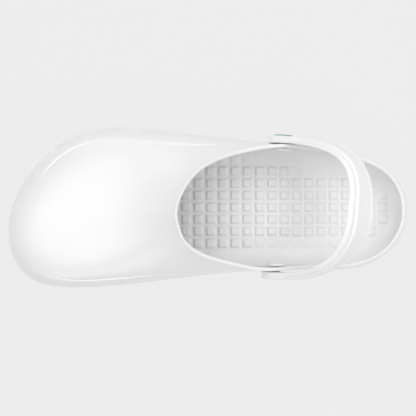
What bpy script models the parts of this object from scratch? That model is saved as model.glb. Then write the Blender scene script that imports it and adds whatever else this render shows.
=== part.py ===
"""Closed-toe work clog, right foot, with a heel strap.

The toe points along -X, the heel along +X, the outer (lateral) side of the foot is +Y and the
floor is z = 0. Lengths are in metres. The upper and the sole are worked out from one table of
sections, which run round the foot from the back of the heel over the lateral side to the toe and
back along the medial side. Each section is a curve that climbs from the sole's edge to the collar.
"""

import math
from collections import namedtuple

import bmesh
import bpy
import numpy as np
from mathutils import Vector

MM = 0.001

# Driving dimensions of the foot form
LENGTH = 286.0 * MM
BALL_WIDTH = 115.0 * MM
THROAT_HEIGHT = 98.5 * MM
HEEL_RIM_HEIGHT = 54.0 * MM
TOE_TO_ORIGIN = 142.1 * MM
AXIS_TO_ORIGIN = 0.62 * MM
WALL = 2.6 * MM
RIM_AIM = 0.98
GAP = 0.3 * MM

# Sole
BALL_EDGE_HEIGHT = 22.5 * MM
HEEL_EDGE_HEIGHT = 28.5 * MM
TOE_EDGE_EXTRA = 3.5 * MM
EDGE_RISE_START = 0.28
EDGE_RISE_LENGTH = 0.5
TOE_SPRING = 10.0 * MM
TOE_SPRING_END = 0.22
ARCH_LIFT = 5.0 * MM
ARCH_START = 0.47
ARCH_END = 0.73
HEEL_BEVEL = 3.0 * MM
HEEL_BEVEL_START = 0.95
GROOVE_WIDTH = 2.8 * MM
GROOVE_DEPTH = 2.4 * MM
GROOVE_PITCH = 11.0 * MM
GROOVE_LENGTH = 138.0 * MM
FOREFOOT_GROOVES = 8
FOREFOOT_GROOVE_START = 0.135
HEEL_GROOVES = 5
HEEL_GROOVE_START = 0.785

# Footbed and its square pads
FOOTBED_THICKNESS = 4.0 * MM
PAD_PITCH_X = 8.85 * MM
PAD_PITCH_Y = 8.65 * MM
PAD_SIDE = 6.1 * MM
PAD_HEIGHT = 1.1 * MM
PAD_EDGE_MARGIN = 13.0 * MM
PAD_FIRST_X = -41.1 * MM
PAD_COLUMNS = 20
PAD_FIRST_Y = -34.9 * MM
PAD_ROWS = 9
TOE_LINES = (-106.0, -98.0, -90.0, -76.0, -60.0, -40.0, -20.0)
HEEL_LINES = (8.0, 16.0)
MEDIAL_LINES = (-28.0, -14.0, -7.0)
LATERAL_LINES = (7.0, 14.0, 28.0)
CUP_REACH = 16.0 * MM
HEEL_CUP = 11.0 * MM
TOE_CUP = 6.0 * MM
CUP_RISE_START = 0.35
CUP_RISE_LENGTH = 0.3

# Vent slots through the lateral wall of the forefoot
Vent = namedtuple("Vent", "along climb")
VENTS = (Vent(0.108, 0.09), Vent(0.205, 0.13), Vent(0.312, 0.155), Vent(0.409, 0.18))
VENT_LENGTH = 11.5 * MM
VENT_WIDTH = 5.0 * MM
VENT_CUT_DEPTH = 8.0 * MM
VENT_ROUND_STEPS = 6

# Heel strap, which stands up at an angle on its two rivets
PIVOT_LATERAL = Vector((53.8, 47.4, 57.0)) * MM
PIVOT_MEDIAL = Vector((48.1, -48.2, 57.0)) * MM
STRAP_ANGLE = math.radians(40.0)
STRAP_REACH = 69.9 * MM
STRAP_SQUARE_LATERAL = 2.95
STRAP_SQUARE_MEDIAL = 2.2
STRAP_TUCK_LATERAL = math.radians(3.5)
STRAP_TUCK_MEDIAL = math.radians(6.9)
STRAP_TWIST_LATERAL = math.radians(5.5)
STRAP_THICKNESS = 5.2 * MM
STRAP_END_WIDTH = 19.6 * MM
STRAP_BACK_WIDTH = 24.2 * MM
STRAP_LIP_RECESS_SIDE = 2.4 * MM
STRAP_LIP_RECESS_BACK = 1.5 * MM
STRAP_PANEL_DEPTH = 0.6 * MM
STRAP_SOFT_EDGE = 0.6 * MM
STRAP_TIP = 0.3 * MM

# Rivets
SHANK_RADIUS = 3.0 * MM
SHANK_HOLE_RADIUS = 3.4 * MM
STRAP_SEAT_RADIUS = STRAP_END_WIDTH / 2.0 + 1.2 * MM
CUTTER_REACH = 12.0 * MM
HEAD_RADIUS = 7.0 * MM
HEAD_THICKNESS = 1.4 * MM
HEAD_EDGE = 0.5 * MM
INNER_CAP_RADIUS = 6.5 * MM
INNER_CAP_THICKNESS = 1.8 * MM
INNER_CAP_EDGE = 0.7 * MM
CAP_CLEARANCE = 0.45 * MM
BADGE_RADIUS = 6.8 * MM
BADGE_THICKNESS = 0.9 * MM
BADGE_EDGE = 0.45 * MM

# Mesh density
SIDE_STEPS = 36
STRAP_STEPS = 34
STRAP_END_STEPS = 5
TURN_STEPS = 16
FINE_SAMPLES = 4000
SEARCH_STEPS = 100
SEARCH_FROM = 0.2

# Angles in degrees up to which the shading runs on over an edge
FORM_SMOOTH = 40.0
STRAP_SMOOTH = 30.0
PAD_SMOOTH = 25.0

# One row for each section. along is the share of LENGTH from the toe line, across the share of
# BALL_WIDTH from the heel's axis, and climb the share of the way from heel rim to throat height.
# shoulder and reach are the lengths of the section curve's handles, lean its slope at the collar
# in degrees, ledge_at the place of the bumper's ledge on the curve and ledge its depth in mm.
Section = namedtuple(
    "Section", "name along across collar_along collar_across climb shoulder lean reach ledge_at ledge"
)
SECTIONS = (
    Section("heel back", 1.001, 0.000, 0.988, 0.000, 0.00, 0.45, 82, 0.35, 0.34, 0.0),
    Section("heel corner lateral", 0.966, 0.208, 0.955, 0.203, 0.00, 0.45, 82, 0.35, 0.36, 0.0),
    Section("heel side lateral", 0.891, 0.325, 0.882, 0.311, 0.03, 0.45, 82, 0.35, 0.40, 0.0),
    Section("pivot lateral", 0.774, 0.382, 0.766, 0.370, 0.14, 0.32, 88, 0.40, 0.46, 0.0),
    Section("waist lateral", 0.622, 0.420, 0.669, 0.388, 0.33, 0.34, 80, 0.42, 0.55, 0.0),
    Section("shank lateral", 0.484, 0.453, 0.570, 0.343, 0.53, 0.58, 58, 0.34, 0.68, 0.3),
    Section("ball lateral", 0.357, 0.486, 0.498, 0.273, 0.76, 0.64, 54, 0.40, 0.60, 1.2),
    Section("joint lateral", 0.256, 0.493, 0.459, 0.192, 0.90, 0.65, 50, 0.45, 0.46, 1.2),
    Section("toe bend lateral", 0.171, 0.451, 0.438, 0.114, 0.97, 0.66, 47, 0.49, 0.32, 1.1),
    Section("toe corner lateral", 0.097, 0.337, 0.427, 0.054, 0.99, 0.66, 45, 0.51, 0.26, 1.0),
    Section("toe front lateral", 0.036, 0.165, 0.422, 0.006, 1.00, 0.66, 45, 0.52, 0.26, 0.6),
    Section("toe tip", -0.002, -0.088, 0.420, -0.038, 1.00, 0.66, 45, 0.52, 0.26, 0.4),
    Section("toe front medial", 0.012, -0.324, 0.423, -0.089, 0.99, 0.66, 45, 0.52, 0.24, 0.2),
    Section("toe corner medial", 0.066, -0.457, 0.430, -0.149, 0.98, 0.66, 45, 0.51, 0.28, 0.4),
    Section("toe bend medial", 0.168, -0.491, 0.444, -0.215, 0.93, 0.66, 48, 0.47, 0.35, 0.8),
    Section("ball medial", 0.294, -0.475, 0.483, -0.286, 0.81, 0.66, 54, 0.41, 0.48, 0.5),
    Section("shank medial", 0.446, -0.432, 0.556, -0.344, 0.59, 0.58, 59, 0.34, 0.50, 0.1),
    Section("waist medial", 0.610, -0.389, 0.645, -0.384, 0.33, 0.40, 80, 0.38, 0.46, 0.0),
    Section("pivot medial", 0.761, -0.382, 0.759, -0.368, 0.14, 0.45, 84, 0.35, 0.40, 0.0),
    Section("heel side medial", 0.886, -0.365, 0.875, -0.349, 0.03, 0.45, 82, 0.35, 0.36, 0.0),
    Section("heel corner medial", 0.968, -0.234, 0.957, -0.226, 0.00, 0.45, 82, 0.35, 0.34, 0.0),
)

# The sole's side from its top edge down to the tread: inset from the upper's edge in mm, and
# share of the sole's edge height.
SideStep = namedtuple("SideStep", "name inset height")
SOLE_SIDE = (
    SideStep("top edge", 1.0, 1.00),
    SideStep("upper band", 0.3, 0.95),
    SideStep("upper band foot", 0.3, 0.64),
    SideStep("groove roof", 1.5, 0.60),
    SideStep("groove floor", 1.5, 0.54),
    SideStep("lower band", 0.5, 0.50),
    SideStep("lower band foot", 1.6, 0.20),
    SideStep("tread bevel", 2.8, 0.06),
    SideStep("tread edge", 4.4, 0.00),
)

# The steps of the strap's outer face, from its top edge down: recessed lip, bead, sunk panel and
# border. inset is the distance in mm from the named edge, and the step lies back by a share of the
# named depth.
FaceStep = namedtuple("FaceStep", "name edge inset depth share")
STRAP_FACE = (
    FaceStep("lip", "top", -0.6, "lip", 1.0),
    FaceStep("lip foot", "top", -2.9, "lip", 1.0),
    FaceStep("bead top", "top", -3.1, "lip", 0.2),
    FaceStep("bead", "top", -3.7, "panel", 0.0),
    FaceStep("bead foot", "top", -4.7, "panel", 0.0),
    FaceStep("panel top", "top", -5.3, "panel", 1.0),
    FaceStep("panel bottom", "bottom", 3.2, "panel", 1.0),
    FaceStep("border", "bottom", 2.6, "panel", 0.0),
    FaceStep("border foot", "bottom", 0.6, "panel", 0.0),
)

# Places on a section curve where the upper has a ring of points. Outside, the rings run from the
# sole to the ledge and from the ledge to the collar.
RINGS_BELOW_LEDGE = (0.0, 0.22, 0.46, 0.74, 1.0)
RINGS_ABOVE_LEDGE = (0.03, 0.12, 0.25, 0.4, 0.55, 0.7, 0.85, 1.0)
RINGS_INSIDE = (1.0, 0.86, 0.7, 0.54, 0.39, 0.26, 0.13, 0.0)
CAVITY_RINGS = 5
RIM_ANGLES = (math.radians(45.0), math.radians(90.0), math.radians(135.0))

Finish = namedtuple("Finish", "name colour roughness")
FOAM = Finish("white_foam", (0.90, 0.90, 0.89, 1.0), 0.42)
TREAD = Finish("pale_sole_foam", (0.84, 0.84, 0.83, 1.0), 0.6)
BED = Finish("white_footbed_foam", (0.90, 0.90, 0.89, 1.0), 0.6)
PLASTIC = Finish("white_plastic", (0.90, 0.90, 0.89, 1.0), 0.3)
BADGE = Finish("teal_plastic", (0.10, 0.42, 0.40, 1.0), 0.35)


def smoothstep(value):
    value = np.clip(value, 0.0, 1.0)
    return value * value * (3.0 - 2.0 * value)


def along_of(x):
    """Share of the length from the toe tip at a place x."""
    return (x + TOE_TO_ORIGIN) / LENGTH


def x_of(along):
    return along * LENGTH - TOE_TO_ORIGIN


def y_of(across):
    return across * BALL_WIDTH - AXIS_TO_ORIGIN


def ground_lift(x):
    """Height of the tread's face over the floor: toe spring, arch and heel bevel."""
    along = along_of(x)
    toe = TOE_SPRING * np.clip(1.0 - along / TOE_SPRING_END, 0.0, 1.0) ** 2
    arch_place = np.clip((along - ARCH_START) / (ARCH_END - ARCH_START), 0.0, 1.0)
    arch = ARCH_LIFT * np.sin(math.pi * arch_place) ** 2
    heel_place = np.clip((along - HEEL_BEVEL_START) / (1.0 - HEEL_BEVEL_START), 0.0, 1.0)
    return toe + arch + HEEL_BEVEL * heel_place**2


def edge_height(x):
    """Height of the line where upper and sole meet."""
    along = along_of(x)
    rise = (HEEL_EDGE_HEIGHT - BALL_EDGE_HEIGHT) * smoothstep((along - EDGE_RISE_START) / EDGE_RISE_LENGTH)
    toe = TOE_EDGE_EXTRA * np.clip(1.0 - along / TOE_SPRING_END, 0.0, 1.0) ** 2
    return BALL_EDGE_HEIGHT + rise + toe


class SectionLoop:
    """A smooth closed run of sections round the foot, read at any place on it."""

    def __init__(self, rows):
        self.values = np.array([row[1:] for row in rows], float)
        outline = self.values[:, 0:2] * (LENGTH, BALL_WIDTH)
        collar = self.values[:, 2:4] * (LENGTH, BALL_WIDTH)
        middle = (outline + collar) / 2.0
        steps = np.linalg.norm(np.roll(middle, -1, axis=0) - middle, axis=1)
        self.steps = steps
        self.knots = np.concatenate([[0.0], np.cumsum(steps)])
        self.bends = self.solve_bends()

    def solve_bends(self):
        """Second derivatives of a periodic cubic spline through every column."""
        count = len(self.steps)
        after = self.steps
        before = np.roll(after, 1)
        system = np.zeros((count, count))
        for i in range(count):
            system[i, i - 1] += before[i]
            system[i, i] += 2.0 * (before[i] + after[i])
            system[i, (i + 1) % count] += after[i]
        ahead = (np.roll(self.values, -1, axis=0) - self.values) / after[:, None]
        behind = np.roll(ahead, 1, axis=0)
        return np.linalg.solve(system, 6.0 * (ahead - behind))

    def read(self, place):
        """All columns at an array of places along the loop."""
        place = np.mod(place, self.knots[-1])
        i = np.clip(np.searchsorted(self.knots, place, side="right") - 1, 0, len(self.steps) - 1)
        j = (i + 1) % len(self.steps)
        step = self.steps[i][:, None]
        right = (place - self.knots[i])[:, None] / step
        left = 1.0 - right
        bend = (left**3 - left) * self.bends[i] + (right**3 - right) * self.bends[j]
        return left * self.values[i] + right * self.values[j] + bend * step**2 / 6.0

    def stations(self, steps):
        """Places with the same spread of x on both sides, from heel back over the lateral side."""
        total = self.knots[-1]
        fine = np.linspace(-0.25 * total, 0.75 * total, FINE_SAMPLES)
        along = self.read(fine)[:, 0]
        heel, toe = int(np.argmax(along)), int(np.argmin(along))
        shares = 0.5 - 0.5 * np.cos(np.linspace(0.0, math.pi, steps + 1))
        wanted = along[heel] + (along[toe] - along[heel]) * shares
        lateral = np.interp(-wanted, -along[heel : toe + 1], fine[heel : toe + 1])
        fine_medial = np.linspace(fine[toe], fine[heel] + total, FINE_SAMPLES)
        along_medial = self.read(fine_medial)[:, 0]
        medial = np.interp(wanted[::-1], along_medial, fine_medial)
        return np.concatenate([lateral, medial[1:-1]])


LOOP = SectionLoop(SECTIONS)
PLACES = LOOP.stations(SIDE_STEPS)


def shell_points(places, climb):
    """Points of the upper's smooth outer face. climb runs from 0 at the sole to 1 at the collar."""
    columns = LOOP.read(places)
    outline = np.column_stack([x_of(columns[:, 0]), y_of(columns[:, 1])])
    collar = np.column_stack([x_of(columns[:, 2]), y_of(columns[:, 3])])
    collar_height = HEEL_RIM_HEIGHT + columns[:, 4] * (THROAT_HEIGHT - HEEL_RIM_HEIGHT)
    foot = edge_height(outline[:, 0]) + GAP
    inward = collar - outline
    depth = np.linalg.norm(inward, axis=1)
    inward = inward / depth[:, None]
    rise = collar_height - foot
    lean = np.radians(columns[:, 6])
    handle = columns[:, 7] * np.hypot(depth, rise)
    in_knots = (np.zeros_like(depth), np.zeros_like(depth), depth - handle * np.cos(lean), depth)
    up_knots = (foot, foot + columns[:, 5] * rise, collar_height - handle * np.sin(lean), collar_height)
    climb = np.clip(climb, 0.0, 1.0)
    weights = ((1 - climb) ** 3, 3 * climb * (1 - climb) ** 2, 3 * climb**2 * (1 - climb), climb**3)
    reach = sum(w * k for w, k in zip(weights, in_knots))
    height = sum(w * k for w, k in zip(weights, up_knots))
    return np.column_stack([outline + inward * reach[:, None], height])


def shell_normals(places, climb):
    """Outward directions of the upper's outer face."""
    small = 1e-3
    low = np.clip(climb - small, 0.0, 1.0)
    high = np.clip(climb + small, 0.0, 1.0)
    round_foot = shell_points(places + small * LENGTH, climb) - shell_points(places - small * LENGTH, climb)
    upward = shell_points(places, high) - shell_points(places, low)
    normal = np.cross(round_foot, upward)
    return normal / np.linalg.norm(normal, axis=1)[:, None]


def shell_ring(climb, offset, places=PLACES):
    """One closed ring of the shell, moved along its outward direction."""
    climb = np.broadcast_to(climb, places.shape).astype(float)
    offset = np.broadcast_to(offset, places.shape)
    return shell_points(places, climb) + shell_normals(places, climb) * offset[:, None]


def material(finish):
    made = bpy.data.materials.new(finish.name)
    made.use_nodes = True
    shader = made.node_tree.nodes["Principled BSDF"]
    shader.inputs["Base Color"].default_value = finish.colour
    shader.inputs["Roughness"].default_value = finish.roughness
    shader.inputs["Metallic"].default_value = 0.0
    return made


def add_object(name, points, faces, finish=None, smooth_angle=FORM_SMOOTH):
    """A mesh object with its faces turned outwards and its soft edges shaded smooth."""
    mesh = bpy.data.meshes.new(name)
    mesh.from_pydata([tuple(p) for p in points], [], faces)
    made = bpy.data.objects.new(name, mesh)
    bpy.context.scene.collection.objects.link(made)
    work = bmesh.new()
    work.from_mesh(mesh)
    bmesh.ops.recalc_face_normals(work, faces=work.faces)
    work.to_mesh(mesh)
    work.free()
    mesh.shade_smooth()
    mesh.set_sharp_from_angle(angle=math.radians(smooth_angle))
    if finish is not None:
        mesh.materials.append(finish)
    return made


def strips(rings, wrap):
    """Quads between neighbouring rings of equal length. wrap also joins the last to the first."""
    count = len(rings[0])
    faces = []
    for k in range(len(rings) if wrap else len(rings) - 1):
        a, b = k * count, (k + 1) % len(rings) * count
        for i in range(count):
            j = (i + 1) % count
            faces.append((a + i, a + j, b + j, b + i))
    return faces


def ladder(start, count):
    """Faces that fill a ring of points, each rung joining the two sides of the foot."""
    half = count // 2
    faces = [(start, start + 1, start + count - 1)]
    for i in range(1, half - 1):
        faces.append((start + i, start + i + 1, start + count - i - 1, start + count - i))
    faces.append((start + half - 1, start + half, start + half + 1))
    return faces


def stacked_solid(name, rings, finish=None):
    """A closed solid from a stack of rings, filled at both ends."""
    count = len(rings[0])
    faces = strips(rings, wrap=False)
    faces += ladder(0, count) + ladder((len(rings) - 1) * count, count)
    return add_object(name, np.concatenate(rings), faces, finish)


def hide_cutter(cutter):
    cutter.hide_render = True
    cutter.display_type = "WIRE"


def cut(target, cutter, operation="DIFFERENCE"):
    hide_cutter(cutter)
    boolean = target.modifiers.new(cutter.name, "BOOLEAN")
    boolean.operation = operation
    boolean.solver = "EXACT"
    boolean.object = cutter


def make_upper(finish):
    """The hollow moulded shell: outer face with its bumper ledge, rolled rim and inner face."""
    columns = LOOP.read(PLACES)
    ledge_at, ledge = columns[:, 8], np.clip(columns[:, 9], 0.0, None) * MM
    rings = [shell_ring(ledge_at * share, ledge) for share in RINGS_BELOW_LEDGE]
    rings += [shell_ring(ledge_at + (1.0 - ledge_at) * share, 0.0) for share in RINGS_ABOVE_LEDGE]
    outer, inner = shell_ring(1.0, 0.0), shell_ring(1.0, -WALL)
    below = shell_ring(RIM_AIM, -WALL / 2.0)
    middle = (outer + inner) / 2.0
    onward = middle - below
    onward /= np.linalg.norm(onward, axis=1)[:, None]
    for angle in RIM_ANGLES:
        crown = onward * math.sin(angle) * WALL / 2.0
        rings.append(middle + (outer - middle) * math.cos(angle) + crown)
    rings += [shell_ring(climb, -WALL) for climb in RINGS_INSIDE]
    return add_object("upper", np.concatenate(rings), strips(rings, wrap=True), finish)


def capsule(length, width, steps=VENT_ROUND_STEPS):
    """Outline of a slot with round ends, as (along, up) pairs."""
    radius = width / 2.0
    half = length / 2.0 - radius
    points = []
    for side, start in ((1.0, -0.5 * math.pi), (-1.0, 0.5 * math.pi)):
        for k in range(steps + 1):
            angle = start + math.pi * k / steps
            points.append((side * half + radius * math.cos(angle), radius * math.sin(angle)))
    return points


def make_vent_cutter(number, vent):
    """A slot-shaped plug that stands through the wall, square to it."""
    lateral = PLACES[: SIDE_STEPS + 1]
    place = np.interp(-vent.along, -LOOP.read(lateral)[:, 0], lateral)
    here, climb = np.array([place]), np.array([vent.climb])
    centre = Vector(shell_points(here, climb)[0])
    outward = Vector(shell_normals(here, climb)[0])
    ahead = Vector(shell_points(here + MM, climb)[0]) - centre
    ahead = (ahead - outward * ahead.dot(outward)).normalized()
    upward = outward.cross(ahead)
    outline = capsule(VENT_LENGTH, VENT_WIDTH)
    points = []
    for shift in (-VENT_CUT_DEPTH, VENT_CUT_DEPTH):
        points += [centre + ahead * a + upward * u + outward * shift for a, u in outline]
    count = len(outline)
    faces = [tuple(range(count)), tuple(range(2 * count - 1, count - 1, -1))]
    faces += [(i, (i + 1) % count, count + (i + 1) % count, count + i) for i in range(count)]
    return add_object(f"vent_cutter_{number}", points, faces)


def outline_ring(inset):
    """The sole's outline at each place, moved inwards, without height."""
    edge = shell_points(PLACES, np.zeros_like(PLACES))[:, :2]
    run = np.roll(edge, -1, axis=0) - np.roll(edge, 1, axis=0)
    run /= np.linalg.norm(run, axis=1)[:, None]
    outward = np.column_stack([run[:, 1], -run[:, 0]])
    return edge - outward * inset


def make_sole(finish):
    """Sole unit with stepped side, toe spring, arch, heel bevel and a grooved tread."""
    edge = outline_ring(0.0)
    low, high = ground_lift(edge[:, 0]), edge_height(edge[:, 0])
    rings = []
    for step in SOLE_SIDE:
        plan = outline_ring(step.inset * MM)
        rings.append(np.column_stack([plan, low + (high - low) * step.height]))
    return stacked_solid("sole", rings, finish)


def make_tread_cutter():
    """Bars across the tread that leave the main lugs of forefoot and heel."""
    starts = [x_of(FOREFOOT_GROOVE_START) + k * GROOVE_PITCH for k in range(FOREFOOT_GROOVES)]
    starts += [x_of(HEEL_GROOVE_START) + k * GROOVE_PITCH for k in range(HEEL_GROOVES)]
    corners = ((0, 0), (1, 0), (1, 1), (0, 1))
    points, faces = [], []
    for x in starts:
        first = len(points)
        roof = float(ground_lift(np.array(x + GROOVE_WIDTH / 2.0))) + GROOVE_DEPTH
        for z in (-GROOVE_DEPTH, roof):
            points += [(x + a * GROOVE_WIDTH, (b - 0.5) * GROOVE_LENGTH, z) for a, b in corners]
        faces += [tuple(first + i for i in (0, 3, 2, 1)), tuple(first + i for i in (4, 5, 6, 7))]
        faces += [tuple(first + i for i in (k, (k + 1) % 4, 4 + (k + 1) % 4, 4 + k)) for k in range(4)]
    return add_object("tread_cutter", points, faces)


def cavity_cutter():
    """The space inside the upper, one gap clear of its wall, from below the footbed to its rim."""
    clear = -(WALL + GAP)
    floor = shell_ring(0.0, clear)
    floor[:, 2] -= FOOTBED_THICKNESS
    rings = [floor] + [shell_ring(climb, clear) for climb in RINGS_INSIDE[:-CAVITY_RINGS - 1 : -1]]
    return stacked_solid("cavity_cutter", rings)


def depth_inside(points):
    """Distance of plan points from the inner wall at footbed height, negative outside it."""
    wall = shell_ring(0.0, -(WALL + GAP))[:, :2]
    run = np.roll(wall, -1, axis=0) - wall
    offset = points[:, None, :] - wall[None]
    share = np.clip((offset * run).sum(2) / (run * run).sum(1), 0.0, 1.0)
    distance = np.linalg.norm(offset - share[..., None] * run, axis=2).min(1)
    angles = np.arctan2(-offset[..., 1], -offset[..., 0])
    turns = np.roll(angles, -1, axis=1) - angles
    turns = (turns + math.pi) % (2.0 * math.pi) - math.pi
    inside = np.abs(turns.sum(1)) > math.pi
    return np.where(inside, distance, -distance)


def footbed_height(x, y):
    """Height of the footbed's face, which rises in a quarter round to meet the wall."""
    depth = depth_inside(np.column_stack([x, y]))
    deeper = smoothstep((along_of(x) - CUP_RISE_START) / CUP_RISE_LENGTH)
    cup = TOE_CUP + (HEEL_CUP - TOE_CUP) * deeper
    nearness = np.clip(1.0 - depth / CUP_REACH, 0.0, 1.0)
    return edge_height(x) + GAP + FOOTBED_THICKNESS + cup * (1.0 - np.sqrt(1.0 - nearness**2))


def pad_edges(first, pitch, count):
    """Low and high edge of each pad in a row of pads."""
    return [first + k * pitch + side * PAD_SIDE / 2.0 for k in range(count) for side in (-1.0, 1.0)]


def pad_lines(first, pitch, count, before, after):
    """Grid lines along one axis: plain lines up to the pads, the pads' edges, plain lines beyond."""
    edges = pad_edges(first, pitch, count)
    lead = [edges[0] + step * MM for step in before]
    trail = [edges[-1] + step * MM for step in after]
    return np.array(lead + edges + trail)


def make_footbed(finish):
    """A sheet with square pads, cut to the space inside the upper."""
    xs = pad_lines(PAD_FIRST_X, PAD_PITCH_X, PAD_COLUMNS, TOE_LINES, HEEL_LINES)
    ys = pad_lines(PAD_FIRST_Y, PAD_PITCH_Y, PAD_ROWS, MEDIAL_LINES, LATERAL_LINES)
    grid_x, grid_y = (g.ravel() for g in np.meshgrid(xs, ys, indexing="ij"))
    wide = len(ys)
    top = np.column_stack([grid_x, grid_y, footbed_height(grid_x, grid_y)])
    points, faces = list(top), []

    def is_pad(i, j):
        column, row = i - len(TOE_LINES), j - len(MEDIAL_LINES)
        if not (0 <= column < 2 * PAD_COLUMNS and 0 <= row < 2 * PAD_ROWS) or column % 2 or row % 2:
            return False
        middle = np.array([(xs[i] + xs[i + 1]) / 2.0, (ys[j] + ys[j + 1]) / 2.0])
        return depth_inside(middle[None])[0] > PAD_EDGE_MARGIN

    for i in range(len(xs) - 1):
        for j in range(wide - 1):
            cell = (i * wide + j, (i + 1) * wide + j, (i + 1) * wide + j + 1, i * wide + j + 1)
            if not is_pad(i, j):
                faces.append(cell)
                continue
            first = len(points)
            points += [top[c] + (0.0, 0.0, PAD_HEIGHT) for c in cell]
            faces.append(tuple(range(first, first + 4)))
            faces += [(cell[k], cell[(k + 1) % 4], first + (k + 1) % 4, first + k) for k in range(4)]

    under = len(points)
    for x in xs:
        points += [(x, y, float(edge_height(np.array(x))) + GAP) for y in (ys[0], ys[-1])]
    last = len(xs) - 1
    for i in range(last):
        left, right = under + 2 * i, under + 2 * i + 1
        faces.append((left, right, right + 2, left + 2))
        faces.append((i * wide, left, left + 2, (i + 1) * wide))
        faces.append(((i + 1) * wide - 1, (i + 2) * wide - 1, right + 2, right))
    faces.append(tuple(range(wide)) + (under + 1, under))
    faces.append(tuple(range(last * wide, last * wide + wide)) + (under + 2 * last + 1, under + 2 * last))
    return add_object("footbed", points, faces, finish, smooth_angle=PAD_SMOOTH)


class StrapFrame:
    """The tilted plane of the strap: across to the lateral pivot, back from the pivots, and up."""

    def __init__(self):
        self.centre = (PIVOT_LATERAL + PIVOT_MEDIAL) / 2.0
        axis = PIVOT_LATERAL - PIVOT_MEDIAL
        self.half_span = axis.length / 2.0
        self.across = axis.normalized()
        level_back = Vector((self.across.y, -self.across.x, 0.0))
        self.back = level_back * math.cos(STRAP_ANGLE) + Vector((0.0, 0.0, math.sin(STRAP_ANGLE)))
        self.up = self.back.cross(self.across)

    def at(self, back, across, up=0.0):
        return self.centre + self.back * back + self.across * across + self.up * up


STRAP = StrapFrame()


def strap_path():
    """(back, across, distance to the nearer tip, lean) along the strap's middle line."""
    radius = STRAP_END_WIDTH / 2.0
    curve = [(-radius, STRAP.half_span, 0.0)]
    for angle in np.linspace(0.0, math.pi, FINE_SAMPLES):
        lateral = angle < 0.5 * math.pi
        power = 2.0 / (STRAP_SQUARE_LATERAL if lateral else STRAP_SQUARE_MEDIAL)
        back = STRAP_REACH * max(math.sin(angle), 0.0) ** power
        across = math.copysign(abs(math.cos(angle)) ** power, math.cos(angle)) * STRAP.half_span
        tuck = STRAP_TUCK_LATERAL if lateral else STRAP_TUCK_MEDIAL
        twist = STRAP_TWIST_LATERAL if lateral else 0.0
        curve.append((back, across, twist * math.sin(4.0 * angle) - tuck * math.sin(2.0 * angle) ** 2))
    curve.append((-radius, -STRAP.half_span, 0.0))
    line = np.array(curve)
    run = np.concatenate([[0.0], np.cumsum(np.linalg.norm(np.diff(line[:, :2], axis=0), axis=1))])
    turns = np.linspace(0.0, 0.5 * math.pi, STRAP_END_STEPS + 2)[1:-1]
    rounding = np.concatenate([[STRAP_TIP], radius * (1.0 - np.cos(turns))])
    body = np.linspace(radius, run[-1] - radius, STRAP_STEPS)
    places = np.concatenate([rounding, body, run[-1] - rounding[::-1]])
    columns = [np.interp(places, run, line[:, k]) for k in range(3)]
    return np.column_stack([columns[0], columns[1], np.minimum(places, run[-1] - places), columns[2]])


def strap_section(half_width, lip_recess, panel_depth):
    """Outline of the cross-section as (up, outward) pairs: inner face, then the outer face's steps."""
    half = STRAP_THICKNESS / 2.0
    scale = min(1.0, 2.0 * half_width / STRAP_END_WIDTH)
    soft = STRAP_SOFT_EDGE * scale
    depths = {"lip": lip_recess, "panel": panel_depth}
    outline = [
        (-half_width, half - soft),
        (-half_width, -half + soft),
        (-half_width + soft, -half),
        (half_width - soft, -half),
        (half_width, -half + soft),
        (half_width, half - lip_recess - soft),
    ]
    for step in STRAP_FACE:
        edge = half_width if step.edge == "top" else -half_width
        depth = step.share * depths[step.depth]
        outline.append((edge + step.inset * MM * scale, half - depth))
    return outline


def make_strap(finish):
    """The moulded heel strap, swept round the heel in its tilted plane."""
    path = strap_path()
    run = np.gradient(path[:, :2], axis=0)
    run /= np.linalg.norm(run, axis=1)[:, None]
    radius = STRAP_END_WIDTH / 2.0
    rings = []
    for (back, across, to_tip, lean), (run_back, run_across) in zip(path, run):
        swell = float(smoothstep((to_tip - 2.0 * radius) / STRAP_REACH))
        half_width = (STRAP_END_WIDTH + (STRAP_BACK_WIDTH - STRAP_END_WIDTH) * swell) / 2.0
        if to_tip < radius:
            half_width = math.sqrt(radius**2 - (radius - to_tip) ** 2)
        relief = float(smoothstep((to_tip - 2.0 * radius) / radius))
        recess = STRAP_LIP_RECESS_SIDE + (STRAP_LIP_RECESS_BACK - STRAP_LIP_RECESS_SIDE) * swell
        section = strap_section(half_width, recess * relief, STRAP_PANEL_DEPTH * relief)
        level = STRAP.back * -run_across + STRAP.across * run_back
        outward = level * math.cos(lean) + STRAP.up * math.sin(lean)
        upward = STRAP.up * math.cos(lean) - level * math.sin(lean)
        middle = STRAP.at(back, across)
        rings.append([middle + upward * u + outward * o for u, o in section])
    count = len(rings[0])
    faces = strips(rings, wrap=False)
    last = (len(rings) - 1) * count
    faces += [tuple(range(count)), tuple(range(last, last + count))]
    points = [p for ring in rings for p in ring]
    return add_object("heel_strap", points, faces, finish, smooth_angle=STRAP_SMOOTH)


def turned_points(profile, origin, axis, steps):
    """Rings of points about an axis. profile holds (radius, outward) pairs."""
    first = Vector((0.0, 0.0, 1.0)).cross(axis).normalized()
    second = axis.cross(first)
    rings = []
    for radius, outward in profile:
        angles = [2.0 * math.pi * k / steps for k in range(steps)]
        turn = [first * math.cos(a) + second * math.sin(a) for a in angles]
        rings.append([origin + axis * outward + t * radius for t in turn])
    return rings


def turned(name, profile, origin, axis, finish=None, steps=TURN_STEPS):
    """A solid turned about an axis, with flat ends."""
    rings = turned_points(profile, origin, axis, steps)
    last = (len(rings) - 1) * steps
    faces = strips(rings, wrap=False)
    faces += [tuple(range(steps)), tuple(range(last, last + steps))]
    return add_object(name, [p for ring in rings for p in ring], faces, finish)


def turned_ring(name, profile, origin, axis, finish=None, steps=TURN_STEPS):
    """A turned solid whose profile is a closed loop, so that it has a hole through it."""
    rings = turned_points(profile, origin, axis, steps)
    return add_object(name, [p for ring in rings for p in ring], strips(rings, wrap=True), finish)


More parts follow.
